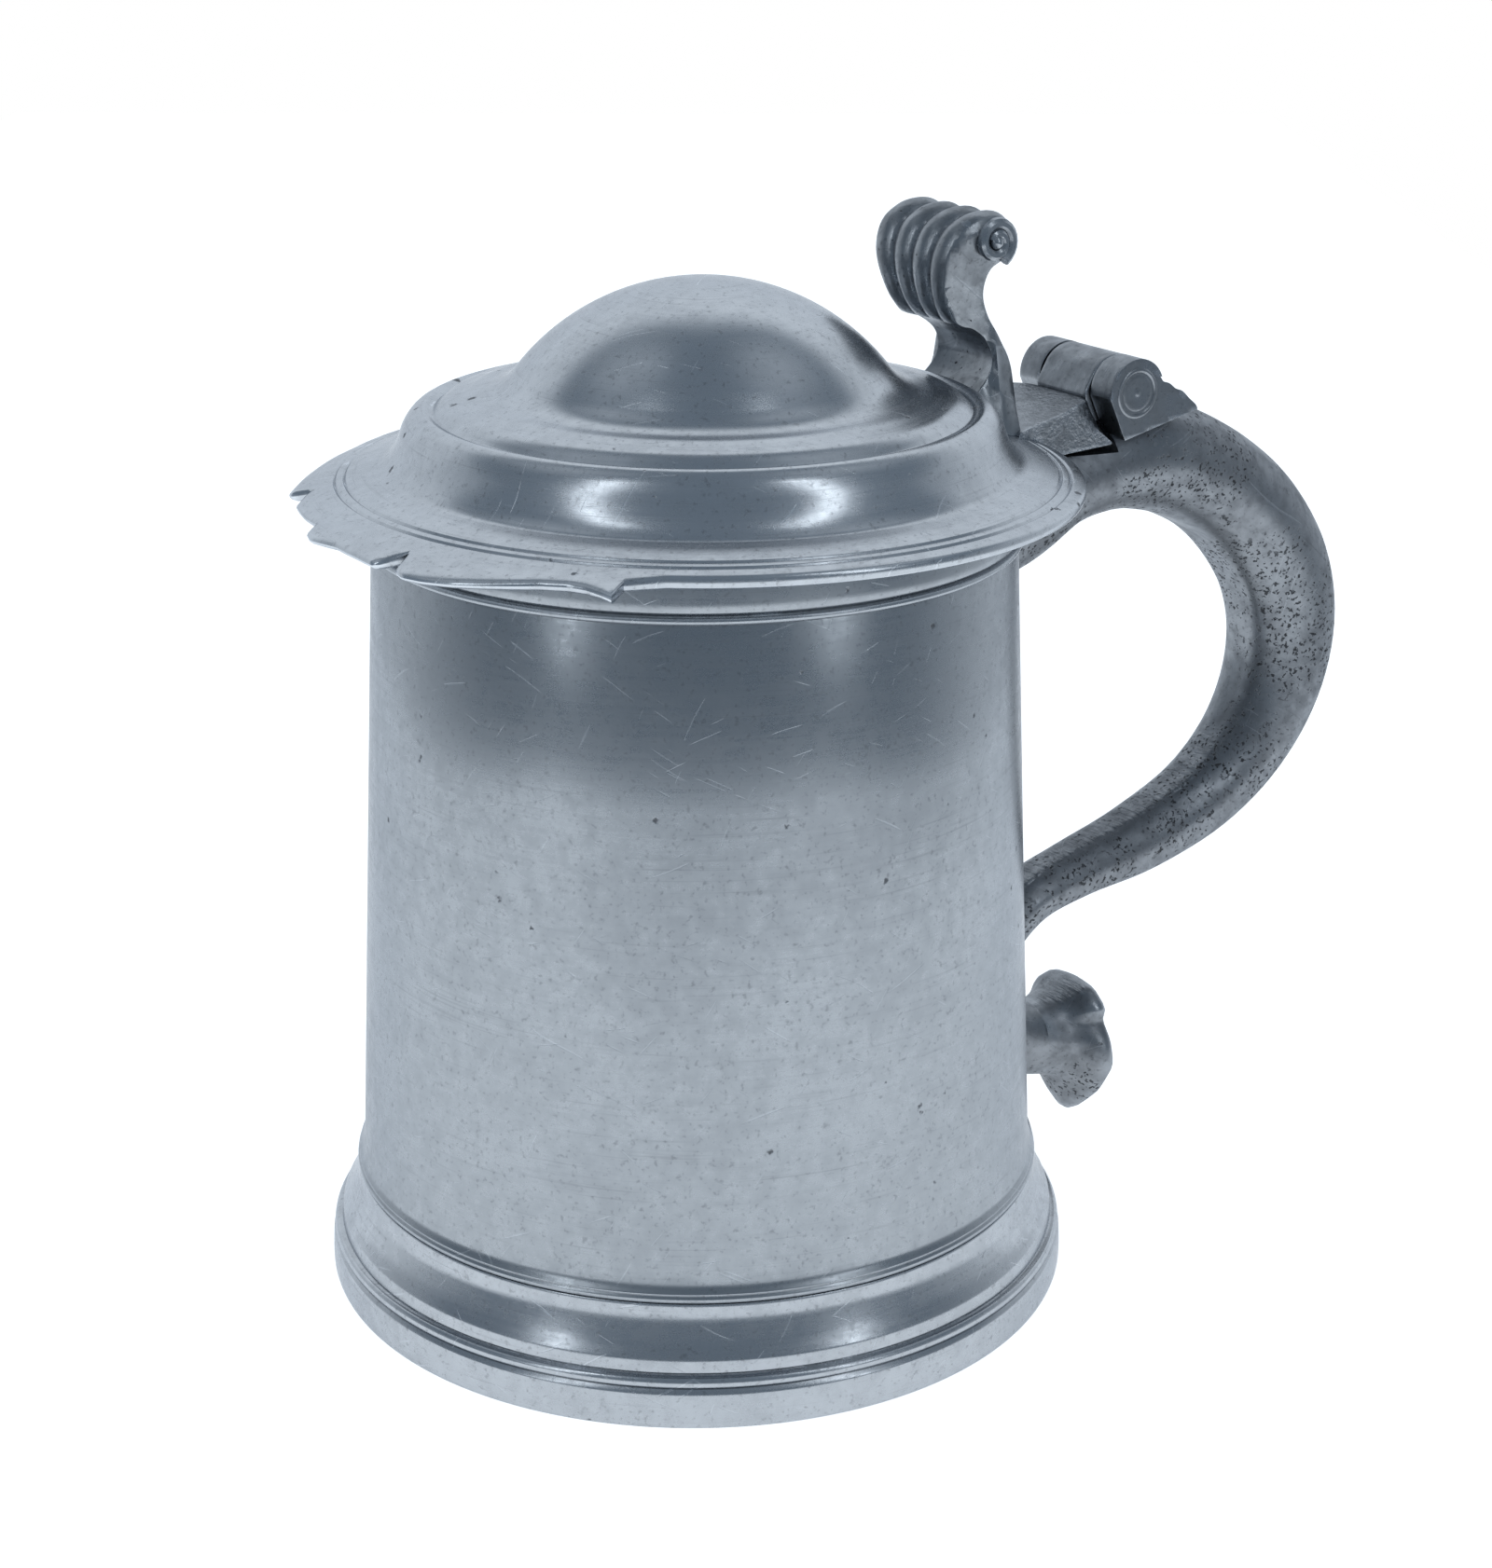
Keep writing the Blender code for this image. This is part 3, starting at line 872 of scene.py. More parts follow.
@dataclass
class Vessel:
    """The drum with its turned lip, the foot moulding and the floor."""

    axis_x: float
    lip_z: float
    floor_z: float
    body_r: float = 58.0
    body_z: float = 20.0
    taper: float = 0.0477
    wall: float = 2.0
    foot_top_z: float = 19.75
    steps: int = 384

    def radius(self, z: float) -> float:
        """Outer radius of the tapered wall at a height."""
        return self.body_r - self.taper * (z - self.body_z)

    def inner_point(self, z: float) -> Point:
        """A point of the drum's inner wall at a height."""
        return (self.radius(z) - self.wall, z)

    def drum_profile(self) -> list[Point]:
        """Outline of the drum's wall, from its foot up the outside and down the inside.

        Returns:
            Points as (radius, height).
        """
        bead_z, band_r = 130.2, 53.5
        low, high = 25.5, bead_z - 1.1
        outside = [
            (58.3, self.foot_top_z),
            (58.95, 20.0, 0.2),
            (59.15, 20.7, 0.3),
            (58.75, 21.15, 0.1),
            (58.9, 21.45, 0.2),
            (58.25, 22.3, 0.5),
            (57.95, 23.8, 1.0),
            *((self.radius(z), z) for z in (low, 50.0, 75.0, 100.0, high)),
            (52.62, bead_z - 0.75, 0.1),
            *arc((52.95, bead_z), 0.62, -60, 70, 6),
            (52.75, bead_z + 0.72, 0.1),
            (band_r - 0.15, bead_z + 1.25, 0.3),
            (band_r, 132.4, 0.6),
            (band_r - 0.35, self.lip_z - 0.2, 0.7),
            (band_r - 1.0, self.lip_z, 0.4),
        ]
        inside = [
            (*self.inner_point(self.lip_z), 0.6),
            *(self.inner_point(z) for z in (self.lip_z - 2, 75.0, 21.0, self.foot_top_z)),
        ]
        return softened([*outside, *inside], closed=True)

    def foot_profile(self) -> list[Point]:
        """Outline of the foot: cove, fillet, groove, bead and rim, and back inside.

        Returns:
            Points as (radius, height).
        """
        return softened(
            [
                (57.0, self.foot_top_z),
                (58.85, self.foot_top_z, 0.1),
                (58.98, 19.4, 0.2),
                (59.15, 17.5, 0.9),
                (59.8, 15.8, 0.8),
                (60.8, 13.4, 1.0),
                (61.95, 11.5, 0.3),
                (62.25, 9.4, 0.15),
                (62.0, 9.2, 0.1),
                (62.6, 9.0, 0.15),
                *arc((62.5, 8.05), 1.05, 62, -52, 8),
                (63.35, 7.0, 0.1),
                (63.8, 6.5, 0.35),
                (64.0, 3.6, 1.2),
                (64.0, 1.2, 0.8),
                (63.3, 0.0, 0.6),
                (61.0, 0.0, 0.6),
                (60.9, 3.0, 1.0),
                (59.6, 8.2, 1.5),
                (57.6, 10.8, 1.0),
                (53.0, 11.2, 0.5),
                (53.0, self.floor_z - 0.15, 0.2),
                (56.3, self.floor_z - 0.15),
            ],
            closed=True,
        )

    def floor_profile(self) -> list[Point]:
        """Outline of the floor disc, with the shallow dish and rings of its turning.

        Returns:
            Points as (radius, height).
        """
        low, high = self.floor_z, self.floor_z + 1.8
        top = [
            (0.0, high - 0.5),
            (1.0, high - 0.35, 0.3),
            (1.8, high - 0.55, 0.3),
            (20.0, high - 0.35, 2.0),
            (20.6, high - 0.6, 0.2),
            (21.2, high - 0.35, 0.3),
            (48.0, high - 0.1, 3.0),
            (54.5, high + 0.6, 1.5),
            (56.15, high + 1.9, 0.2),
            (56.25, high, 0.2),
            (56.15, low, 0.2),
            (41.0, low, 0.3),
            (40.5, low + 0.3, 0.3),
            (40.0, low, 0.3),
            (0.0, low + 0.2),
        ]
        return softened(top)

    def build(self) -> None:
        """Makes the three pieces."""
        wall = PewterFinish(
            "pewter_drum_wall",
            polished=(0.36, 0.385, 0.412),
            patina=(0.25, 0.268, 0.29),
            grain=Grain.TURNED_WALL,
            centre_x=self.axis_x,
            gloss=0.26,
            dullness=0.08,
            patchiness=0.35,
            pit_count=0.30,
            pit_size=0.24,
            pit_cover=0.5,
            pit_depth=0.04,
        )
        foot = PewterFinish(
            "pewter_foot",
            polished=(0.45, 0.476, 0.507),
            patina=(0.34, 0.36, 0.385),
            grain=Grain.TURNED_WALL,
            centre_x=self.axis_x,
            gloss=0.23,
            dullness=0.08,
            patchiness=0.5,
            pit_count=0.3,
            pit_size=0.2,
            pit_cover=0.2,
        )
        floor = PewterFinish(
            "pewter_floor", grain=Grain.TURNED_FACE, centre_x=self.axis_x, gloss=0.36, dullness=0.2
        )
        drum = turned(self.drum_profile(), self.axis_x, self.steps)
        publish(as_object("drum_wall", drum), wall, "vessel", ["drum"])
        ring = turned(self.foot_profile(), self.axis_x, self.steps)
        publish(as_object("turned_foot", ring), foot, "vessel", ["foot_moulding"])
        disc = turned(self.floor_profile(), self.axis_x, self.steps // 2, closed=False)
        publish(as_object("drum_floor", disc), floor, "vessel", ["floor_disc"])


# --------------------------------------------------------------------------- handle


@dataclass
class Handle:
    """The cast handle and the tail that ends in a shield."""

    axis_x: float
    vessel: Vessel
    hinge_x: float
    leaf_low_z: float
    section_points: int = 56
    between: int = 6
    inner_share: float = 1.07
    facet_share: float = 0.95
    outer_squareness: float = 2.15
    grip_squareness: float = 2.05
    shield_z: float = 18.6

    path: tuple[Point, ...] = (
        (50.0, 123.0, 13.0, 9.0),
        (64.0, 125.5, 11.0, 10.0),
        (74.0, 129.5, 9.0, 11.5),
        (84.0, 131.6, 9.2, 12.4),
        (93.0, 131.6, 10.0, 12.4),
        (102.0, 129.0, 10.0, 11.8),
        (113.1, 123.4, 9.8, 11.0),
        (122.5, 115.6, 10.0, 10.7),
        (130.2, 104.9, 10.1, 10.2),
        (133.4, 93.0, 9.9, 9.8),
        (131.6, 81.0, 9.2, 9.3),
        (125.0, 70.0, 8.2, 8.6),
        (114.1, 61.4, 7.1, 8.0),
        (98.9, 55.7, 6.2, 7.2),
        (84.0, 52.6, 5.0, 6.4),
        (72.5, 49.3, 4.6, 6.1),
        (64.4, 43.0, 4.9, 6.0),
        (61.3, 37.8, 4.9, 6.0),
        (61.3, 34.7, 4.9, 6.0),
    )
    tail_path: tuple[Point, ...] = (
        (61.3, 34.6, 4.9, 6.0),
        (61.3, 31.6, 4.9, 6.0),
        (63.4, 26.2, 5.4, 6.1),
        (68.8, 22.6, 6.4, 6.4),
        (74.0, 20.6, 7.0, 6.8),
    )
    flare: tuple[Point, ...] = (
        (76.0, 0.05),
        (78.0, 0.14),
        (79.6, 0.28),
        (80.8, 0.46),
        (81.8, 0.66),
        (82.7, 0.84),
        (83.6, 0.95),
        (84.5, 1.0),
        (85.2, 0.98),
        (85.7, 0.93),
        (85.9, 0.84),
        (86.0, 0.70),
    )
    shield: tuple[Point, ...] = (
        (0.0, 3.0, 0.8),
        (3.8, 5.2, 1.2),
        (8.8, 10.0, 1.8),
        (12.5, 16.4, 1.8),
        (11.2, 21.2, 1.3),
        (8.5, 24.4, 0.8),
        (9.5, 27.3, 1.0),
        (5.6, 30.3, 1.2),
        (0.0, 31.0, 2.0),
    )

    def section(self, row: Point, run: Vector, squareness: float) -> list[Vector]:
        """The casting's section at one row of a path.

        Args:
            row: Distance, height, half thickness towards the hand and half width.
            run: The path's direction.
            squareness: Power of the side towards the drum; 2 is an oval.

        Returns:
            The section's points, in a plane square to the path.
        """
        distance, height, half_thickness, half_width = row
        middle = Vector((self.axis_x + distance, 0, height))
        outwards = Vector((-run.z, 0, run.x))
        found = []
        for angle in self.angles():
            out, across = cos(angle), sin(angle)
            power = 2 / (squareness if out < 0 else self.outer_squareness)
            share = self.inner_share if out < 0 and squareness > 2.0 else 1.0
            grown = max(copysign(abs(out) ** power, out), -self.facet_share) * share
            aside = half_width * copysign(abs(across) ** power, across)
            found.append(middle + outwards * (half_thickness * grown) + Vector((0, aside, 0)))
        return found

    def angles(self) -> list[float]:
        """Angles of a ring's points; 0 is outwards or up."""
        return [2 * pi * (i + 0.5) / self.section_points for i in range(self.section_points)]

    def grip_casting(self) -> bpy.types.Object:
        """The grip as cast, before it is fitted to the drum and the hinge.

        Returns:
            The closed casting.
        """
        rows = spline(self.path, self.between)
        places = [Vector((self.axis_x + row[0], 0, row[1])) for row in rows]
        ends = [Vector((row[0], 0, row[1])) for row in (*self.path[:2], *self.path[-2:])]
        runs = ((ends[1] - ends[0]).normalized(), (ends[3] - ends[2]).normalized())

        def ring_at(i: int, run: Vector) -> list[Vector]:
            """The section's points at one place of the path."""
            return self.section(rows[i], run, self.grip_squareness)

        mesh = bmesh.new()
        lofted(mesh, places, ring_at, runs)
        return as_object("handle_casting", mesh)

    def drum_core(self, name: str) -> bpy.types.Object:
        """A cutter that is the inside of the drum and half its wall.

        Args:
            name: The cutter's name.

        Returns:
            The cutter.
        """
        inset = 0.8
        low, high = -1.0, 150.0
        profile = [
            (0.0, low),
            (self.vessel.radius(low) - inset, low),
            (self.vessel.radius(high) - inset, high),
            (0.0, high),
        ]
        return as_object(name, turned(profile, self.axis_x, 128, closed=False))

    def build_grip(self, finish: PewterFinish) -> None:
        """The handle from the drum's mouth to its lower joint.

        Args:
            finish: Its finish.
        """
        grip = self.grip_casting()
        step_x, back_x = self.hinge_x - 2.7, self.axis_x + 98.0
        seat = self.leaf_low_z + 0.05
        top, near, half = 165.0, self.axis_x + 40, 20
        outline = [
            (near, 134.6),
            (step_x, 134.9),
            (step_x, seat + seat_rise(step_x, self.hinge_x)),
            (back_x, seat + seat_rise(back_x, self.hinge_x)),
            (back_x, top),
            (near, top),
        ]
        seat_cutter = as_object("seat_cutter", sliced_prism(outline, -half, half, 1))
        cut_by(grip, self.drum_core("upper_core"), seat_cutter)
        publish(grip, finish, "vessel", ["handle"], sharp=40)

    def shield_reach(self, angle: float) -> float:
        """Distance from the shield's middle to its outline.

        Args:
            angle: Direction in radians; 0 is sideways and a quarter turn is up.

        Returns:
            The distance.
        """
        nearly, parallel = 1e-6, 1e-9
        half = list(self.shield)
        corners = half + [(-w, z, r) for w, z, r in reversed(half[1:-1])]
        outline = softened(corners, closed=True, steps=4)
        ray = Vector((cos(angle), sin(angle)))
        best = 0.0
        for (w0, z0), (w1, z1) in zip(outline, outline[1:] + outline[:1]):
            start, edge = Vector((w0, z0 - self.shield_z)), Vector((w1 - w0, z1 - z0))
            turn = ray.x * edge.y - ray.y * edge.x
            if abs(turn) < parallel:
                continue
            along = (start.x * edge.y - start.y * edge.x) / turn
            place = (start.x * ray.y - start.y * ray.x) / turn
            if along > 0 and -nearly <= place <= 1 + nearly:
                best = max(best, along)
        return best

    def build_tail(self, finish: PewterFinish) -> None:
        """The tail: a short stem that flares into a shield facing outwards.

        Args:
            finish: Its finish.
        """
        rows = spline(self.tail_path, self.between)
        stem, stem_z = len(rows), rows[-1][1]
        stem_half_height, stem_half_width = 7.1, 7.0
        path = [Vector((self.axis_x + row[0], 0, row[1])) for row in rows]
        path += [Vector((self.axis_x + x, 0, stem_z)) for x, _ in self.flare]
        reaches = [self.shield_reach(pi / 2 - angle) for angle in self.angles()]

        def ring_at(i: int, run: Vector) -> list[Vector]:
            """An oval of the stem, or a step from the oval to the shield's outline.

            Args:
                i: Number of the ring along the path.
                run: The path's direction.

            Returns:
                The ring's points.
            """
            if i < stem:
                return self.section(rows[i], run, 2.0)
            share = self.flare[i - stem][1]
            grown = []
            for angle, reach in zip(self.angles(), reaches):
                up, aside = cos(angle), sin(angle)
                oval = 1 / hypot(up / stem_half_height, aside / stem_half_width)
                size = oval + (reach - oval) * share
                drop = (self.shield_z - stem_z) * share
                grown.append(path[i] + Vector((0, aside * size, up * size + drop)))
            return grown

        mesh = bmesh.new()
        lofted(mesh, path, ring_at, (Vector((0, 0, -1)), Vector((1, 0, 0))))
        tail = as_object("tail_and_shield", mesh)
        cut_by(tail, self.drum_core("lower_core"))
        publish(tail, finish, "vessel", ["handle_tail"], sharp=60)

    def build(self) -> None:
        """Makes both castings."""
        finish = PewterFinish(
            "pewter_cast_handle",
            polished=(0.26, 0.277, 0.299),
            patina=(0.125, 0.134, 0.147),
            stain_and_groove_shade=(0.04, 0.042, 0.045),
            gloss=0.31,
            dullness=0.17,
            pit_depth=0.16,
            pit_count=1.0,
            pit_size=0.4,
            pit_cover=0.6,
            corrosion=0.8,
            skin_depth=0.03,
            wobble_depth=0.15,
            grain_depth=0.003,
            filed_depth=0.35,
        )
        self.build_grip(finish)
        self.build_tail(finish)


# --------------------------------------------------------------------------- lid


@dataclass
class Lid:
    """The domed lid with its toothed flange, and the bezel under it.

    A tooth's row is its angle in degrees from the lid's front, and the flange's radius there.
    """

    axis_x: float
    flange_r: float
    top_z: float
    dome_r: float = 38.8
    dome_angle: float = 51.8
    foot_r: float = 7.9
    edge_z: float = 139.2
    slope: float = 0.275
    wall: float = 2.0
    edge_wall: float = 1.9
    teeth_from_r: float = 60.4
    tooth_slope: float = 0.2
    groove_half: float = 0.35
    groove_depth: float = 0.38
    steps: int = 480

    teeth: tuple[Point, ...] = (
        (-51.0, 62.2),
        (-46.0, 63.3),
        (-38.0, 64.6),
        (-30.0, 66.3),
        (-26.8, 67.1),
        (-25.9, 66.2),
        (-25.2, 62.9),
        (-23.5, 64.4),
        (-19.5, 66.3),
        (-14.0, 66.2),
        (-9.3, 65.7),
        (-8.3, 66.0),
        (-6.2, 68.4),
        (-4.0, 69.0),
        (1.5, 67.7),
        (7.0, 68.2),
        (11.4, 68.9),
        (12.6, 67.4),
        (13.3, 63.8),
        (14.2, 65.0),
        (15.6, 69.0),
        (17.5, 70.0),
        (20.7, 69.9),
        (24.7, 69.2),
        (28.5, 68.1),
        (32.2, 67.0),
        (35.8, 65.9),
        (39.7, 65.5),
        (42.1, 66.0),
        (44.3, 67.3),
        (45.75, 68.5),
        (46.5, 63.9),
        (49.5, 62.9),
        (52.0, 62.2),
    )

    def flange_top(self, radius: float) -> float:
        """Height of the flange's upper side at a radius."""
        return self.edge_z + self.slope * (self.flange_r - radius)

    def on_flange(self, radius: float, *rounding: float, sunk: float = 0.0) -> Point:
        """A corner on the flange's upper side, or sunk below it."""
        return (radius, self.flange_top(radius) - sunk, *rounding)

    def upper_side(self) -> list[Point]:
        """Profile of the lid's upper side, from the top of the dome out to the teeth.

        Returns:
            Points as (radius, height).
        """
        centre_z = self.top_z - self.dome_r
        turn = radians(self.dome_angle)
        dome = arc((0.0, centre_z), self.dome_r, 90, 90 - self.dome_angle, 20)
        end_r, end_z = dome[-1]
        groove_shade = (end_r + self.foot_r * sin(turn), end_z + self.foot_r * cos(turn))
        foot = arc(groove_shade, self.foot_r, 270 - self.dome_angle, 262, 10)[1:]
        over = [
            *dome,
            *foot,
            (37.2, 153.35, 0.8),
            (38.6, 152.9, 0.5),
            (41.2, 152.3, 0.8),
            (42.5, 151.4, 0.5),
            (43.5, 150.4, 0.25),
            (44.0, 150.5, 0.25),
            (45.2, 151.2, 0.8),
            (47.0, 150.4, 1.4),
            (48.6, 148.2, 1.6),
            (49.3, 146.0, 1.5),
            (50.3, 143.9, 1.0),
            self.on_flange(52.0, 0.8),
            self.on_flange(54.0),
        ]
        for groove_r in (58.0, 59.6):
            over += [
                self.on_flange(groove_r - self.groove_half, 0.1),
                self.on_flange(groove_r, 0.1, sunk=self.groove_depth),
                self.on_flange(groove_r + self.groove_half, 0.1),
            ]
        return [*over, self.on_flange(self.teeth_from_r)]

    def under_side(self) -> list[Point]:
        """Profile of the lid's edge and of its underside, back to the middle.

        Returns:
            Points as (radius, height).
        """
        centre_z = self.top_z - self.dome_r
        edge = [
            self.on_flange(61.2, 0.3),
            (self.flange_r - 0.15, self.edge_z - 0.05, 0.5),
            (self.flange_r, self.edge_z - 0.9, 0.5),
            (self.flange_r - 0.3, self.edge_z - self.edge_wall, 0.4),
            self.on_flange(self.teeth_from_r, sunk=self.edge_wall),
        ]
        under = [
            self.on_flange(50.6, 1.0, sunk=2.45),
            (47.9, 144.2, 1.5),
            (46.2, 147.3, 1.5),
            (43.0, 148.4, 1.0),
            (37.0, 150.9, 2.0),
            *arc((0.0, centre_z), self.dome_r - self.wall, 40, 90, 10),
        ]
        return [*edge, *under]

    def cut_teeth(self, mesh: bmesh.types.BMesh) -> None:
        """Draws the flange's edge out to the hand-cut teeth.

        Args:
            mesh: The turned lid's mesh.
        """
        band, nearly = self.flange_r - self.teeth_from_r, 0.01
        for vert in mesh.verts:
            x, y = vert.co.x - self.axis_x, vert.co.y
            radius = hypot(x, y)
            if radius <= self.teeth_from_r + nearly:
                continue
            angle = degrees(atan2(-y, -x))
            if not self.teeth[0][0] < angle < self.teeth[-1][0]:
                continue
            share = (radius - self.teeth_from_r) / band
            wanted = radius + share * (between_marks(self.teeth, angle) - self.flange_r)
            vert.co.x, vert.co.y = self.axis_x + x * wanted / radius, y * wanted / radius
            vert.co.z -= self.tooth_slope * (wanted - radius)

    def build(self) -> None:
        """Makes the cover and the bezel."""
        face = PewterFinish(
            "pewter_lid",
            polished=(0.50, 0.53, 0.565),
            patina=(0.36, 0.382, 0.41),
            grain=Grain.TURNED_FACE,
            centre_x=self.axis_x,
            gloss=0.23,
            dullness=0.06,
            patchiness=0.4,
            pit_count=0.3,
            pit_cover=0.3,
            pit_depth=0.05,
        )
        profile = softened([*self.upper_side(), *self.under_side()])
        mesh = turned(profile, self.axis_x, self.steps, closed=False)
        self.cut_teeth(mesh)
        cover = as_object("domed_lid", mesh)
        publish(cover, face, "lid", ["lid_cover"], sharp=45)

        low, high = span("lid_bezel")
        outer = (high.y - low.y) / 2
        ring = [
            (outer - 2.0, high.z + 0.25),
            (outer - 2.0, low.z, 0.4),
            (outer - 0.4, low.z, 0.5),
            (outer, low.z + 1.6, 0.6),
            (outer, high.z + 0.25),
        ]
        bezel = turned(softened(ring, closed=True), (low.x + high.x) / 2, self.steps // 2)
        # The bezel gets darker colours than the drum wall: painted shade from the flange above it.
        bezel_under_flange_shade = PewterFinish(
            "pewter_bezel_shaded",
            polished=(0.30, 0.318, 0.34),
            patina=(0.20, 0.213, 0.23),
            grain=Grain.TURNED_WALL,
            centre_x=self.axis_x,
            pit_cover=0.7,
        )
        publish(as_object("lid_bezel_ring", bezel), bezel_under_flange_shade, "lid", ["lid_bezel"])


# --------------------------------------------------------------------------- thumbpiece


@dataclass
class Thumbpiece:
    """The cast thumbpiece: a waisted stem, four ribs and a scroll on each side."""

    drum_x: float
    lid: Lid
    ribs: int = 4
    slices_per_rib: int = 12
    rib_depth: float = 2.1
    ridge_depth: float = 0.6
    scroll_centre: Point = (51.7, 174.1)
    spiral_r: float = 3.7
    ridge_r: float = 1.15
    eye_r: float = 1.3

    def outline(self) -> list[Point]:
        """Side outline: base, stem, undercut, face, scroll, neck and back.

        Returns:
            Points as (x, z).
        """
        corners = [
            (44.5, 141.0),
            (47.6, 145.2),
            (51.2, 148.0),
            (54.0, 150.8),
            (54.9, 153.8),
            (53.6, 156.8),
            (50.6, 159.0),
            (48.2, 159.7),
            (46.4, 160.6),
            (44.4, 163.6),
            (42.9, 168.0),
            (42.9, 172.0),
            (44.6, 175.6),
            (47.6, 177.6),
            (50.6, 178.3),
            (53.6, 178.0),
            (55.7, 176.0),
            (56.1, 173.2),
            (54.6, 170.8),
            (52.4, 169.4),
            (51.5, 167.0),
            (51.8, 164.2),
            (53.6, 160.8),
            (56.2, 157.4),
            (58.4, 153.6),
            (59.2, 149.6),
            (59.1, 145.0),
            (59.3, 138.5),
            (50.0, 138.5),
        ]
        smooth = spline(corners[:-2], 4)
        return [(self.drum_x + x, z) for x, z in [*smooth, *corners[-2:]]]

    def half_width(self, z: float) -> float:
        """Half width at a height: flared foot, narrow stem, broad scroll.

        Args:
            z: The height.

        Returns:
            The half width.
        """
        marks = (
            (138.0, 11.6),
            (141.0, 11.0),
            (144.0, 9.6),
            (149.0, 8.1),
            (156.0, 7.3),
            (161.0, 8.0),
            (170.0, 10.0),
            (178.8, 11.7),
        )
        return between_marks(marks, z)

    def sculpt(self, mesh: bmesh.types.BMesh) -> None:
        """Gives the block its width, its ribs and the hollow of its stem.

        Args:
            mesh: The block, with its sides at -1 and 1 along Y.
        """
        centre = Vector((self.drum_x + 51.0, 0, 168.0))
        ribs_z, ribs_fade, behind_x, scroll_z = 159.6, 4.0, 56.5, 172.0
        stem_z, stem_reach, stem_hollow, undercut_x = 153.0, 9.0, 1.1, 50.5
        swell_middle, crest_sharpness, side_edge = 0.72, 9, 0.99
        for vert in mesh.verts:
            across = vert.co.y
            x, z = vert.co.x - self.drum_x, vert.co.z
            vert.co.y = across * self.half_width(z)
            place = (across + 1) / 2 * self.ribs % 1.0
            swell = sqrt(max(0.0, 1 - (2 * place - 1) ** 2))
            crest = max(0.0, 1 - min(place, 1 - place) * crest_sharpness)
            if abs(across) >= side_edge:
                crest = 0.0
            lift = self.rib_depth * (swell - swell_middle) + self.ridge_depth * crest
            rise = clamped((z - ribs_z) / ribs_fade)
            back = clamped((behind_x - x) / ribs_fade) if z < scroll_z else 1.0
            front = 1.0 if x < undercut_x or z > scroll_z else 0.0
            away = Vector((vert.co.x, 0, z)) - centre
            away.y = 0.0
            vert.co += away.normalized() * lift * rise * back * front
            stem = max(0.0, 1 - abs(z - stem_z) / stem_reach)
            if x < behind_x and z < 161:
                vert.co.x += stem_hollow * stem * (1 - across * across)

    def volute(self, mesh: bmesh.types.BMesh, side: int) -> None:
        """A raised spiral and its eye on one side of the scroll.

        Args:
            mesh: The mesh that receives it.
            side: -1 for the near side and 1 for the far side.
        """
        turns, points, ring_points = 1.6, 40, 10
        closing, thinning, rising, start = 0.74, 0.25, 0.6, radians(-60)
        centre_x, centre_z = self.drum_x + self.scroll_centre[0], self.scroll_centre[1]
        face = self.half_width(174.0)
        path, sizes = [], []
        for i in range(points + 1):
            share = i / points
            reach = self.spiral_r * (1 - closing * share)
            angle = start + 2 * pi * turns * share
            level = face + 0.5 + rising * share
            x, z = centre_x + reach * cos(angle), centre_z + reach * sin(angle)
            path.append(Vector((x, side * level, z)))
            sizes.append(self.ridge_r * (1 - thinning * share))

        def ring_at(i: int, run: Vector) -> list[Vector]:
            """A round section of the spiral ridge.

            Args:
                i: Number of the ring along the spiral.
                run: The spiral's direction.

            Returns:
                The ring's points.
            """
            up = Vector((0, 1, 0))
            aside = run.cross(up).normalized()
            turns_at = (2 * pi * k / ring_points for k in range(ring_points))
            return [path[i] + (aside * cos(a) + up * sin(a)) * sizes[i] for a in turns_at]

        lofted(mesh, path, ring_at)
        eye = bmesh.ops.create_uvsphere(mesh, u_segments=16, v_segments=10, radius=self.eye_r)
        place = (centre_x, side * (face + 0.9), centre_z)
        bmesh.ops.translate(mesh, vec=place, verts=eye["verts"])

    def build(self) -> None:
        """Makes the thumbpiece."""
        finish = PewterFinish(
            "pewter_thumbpiece",
            polished=(0.29, 0.31, 0.333),
            patina=(0.14, 0.15, 0.163),
            stain_and_groove_shade=(0.035, 0.037, 0.04),
            gloss=0.28,
            dullness=0.16,
            pit_depth=0.05,
            pit_count=0.8,
            pit_size=0.3,
            pit_cover=0.6,
            skin_depth=0.035,
            wobble_depth=0.12,
        )
        mesh = sliced_prism(self.outline(), -1.0, 1.0, self.ribs * self.slices_per_rib)
        self.sculpt(mesh)
        eased(mesh, 0.35, 50.0, segments=2)
        gridded(mesh, 1.3)
        block = as_object("ribbed_thumbpiece", mesh)
        above, core_low = 0.02, 130.0
        cover = [(r, z + above) for r, z in softened(self.lid.upper_side())]
        outer = self.lid.flange_r
        cover += [(outer, self.lid.edge_z), (outer, core_low), (0.0, core_low)]
        core = turned(cover, self.lid.axis_x, 180, closed=False)
        cut_by(block, as_object("lid_core", core))
        scrolls = bmesh.new()
        for side in (-1, 1):
            self.volute(scrolls, side)
        spirals = as_object("thumb_scrolls", scrolls)
        publish(block, finish, "lid", ["thumbpiece"], sharp=50)
        publish(spirals, finish, "lid", [])


# --------------------------------------------------------------------------- hinge


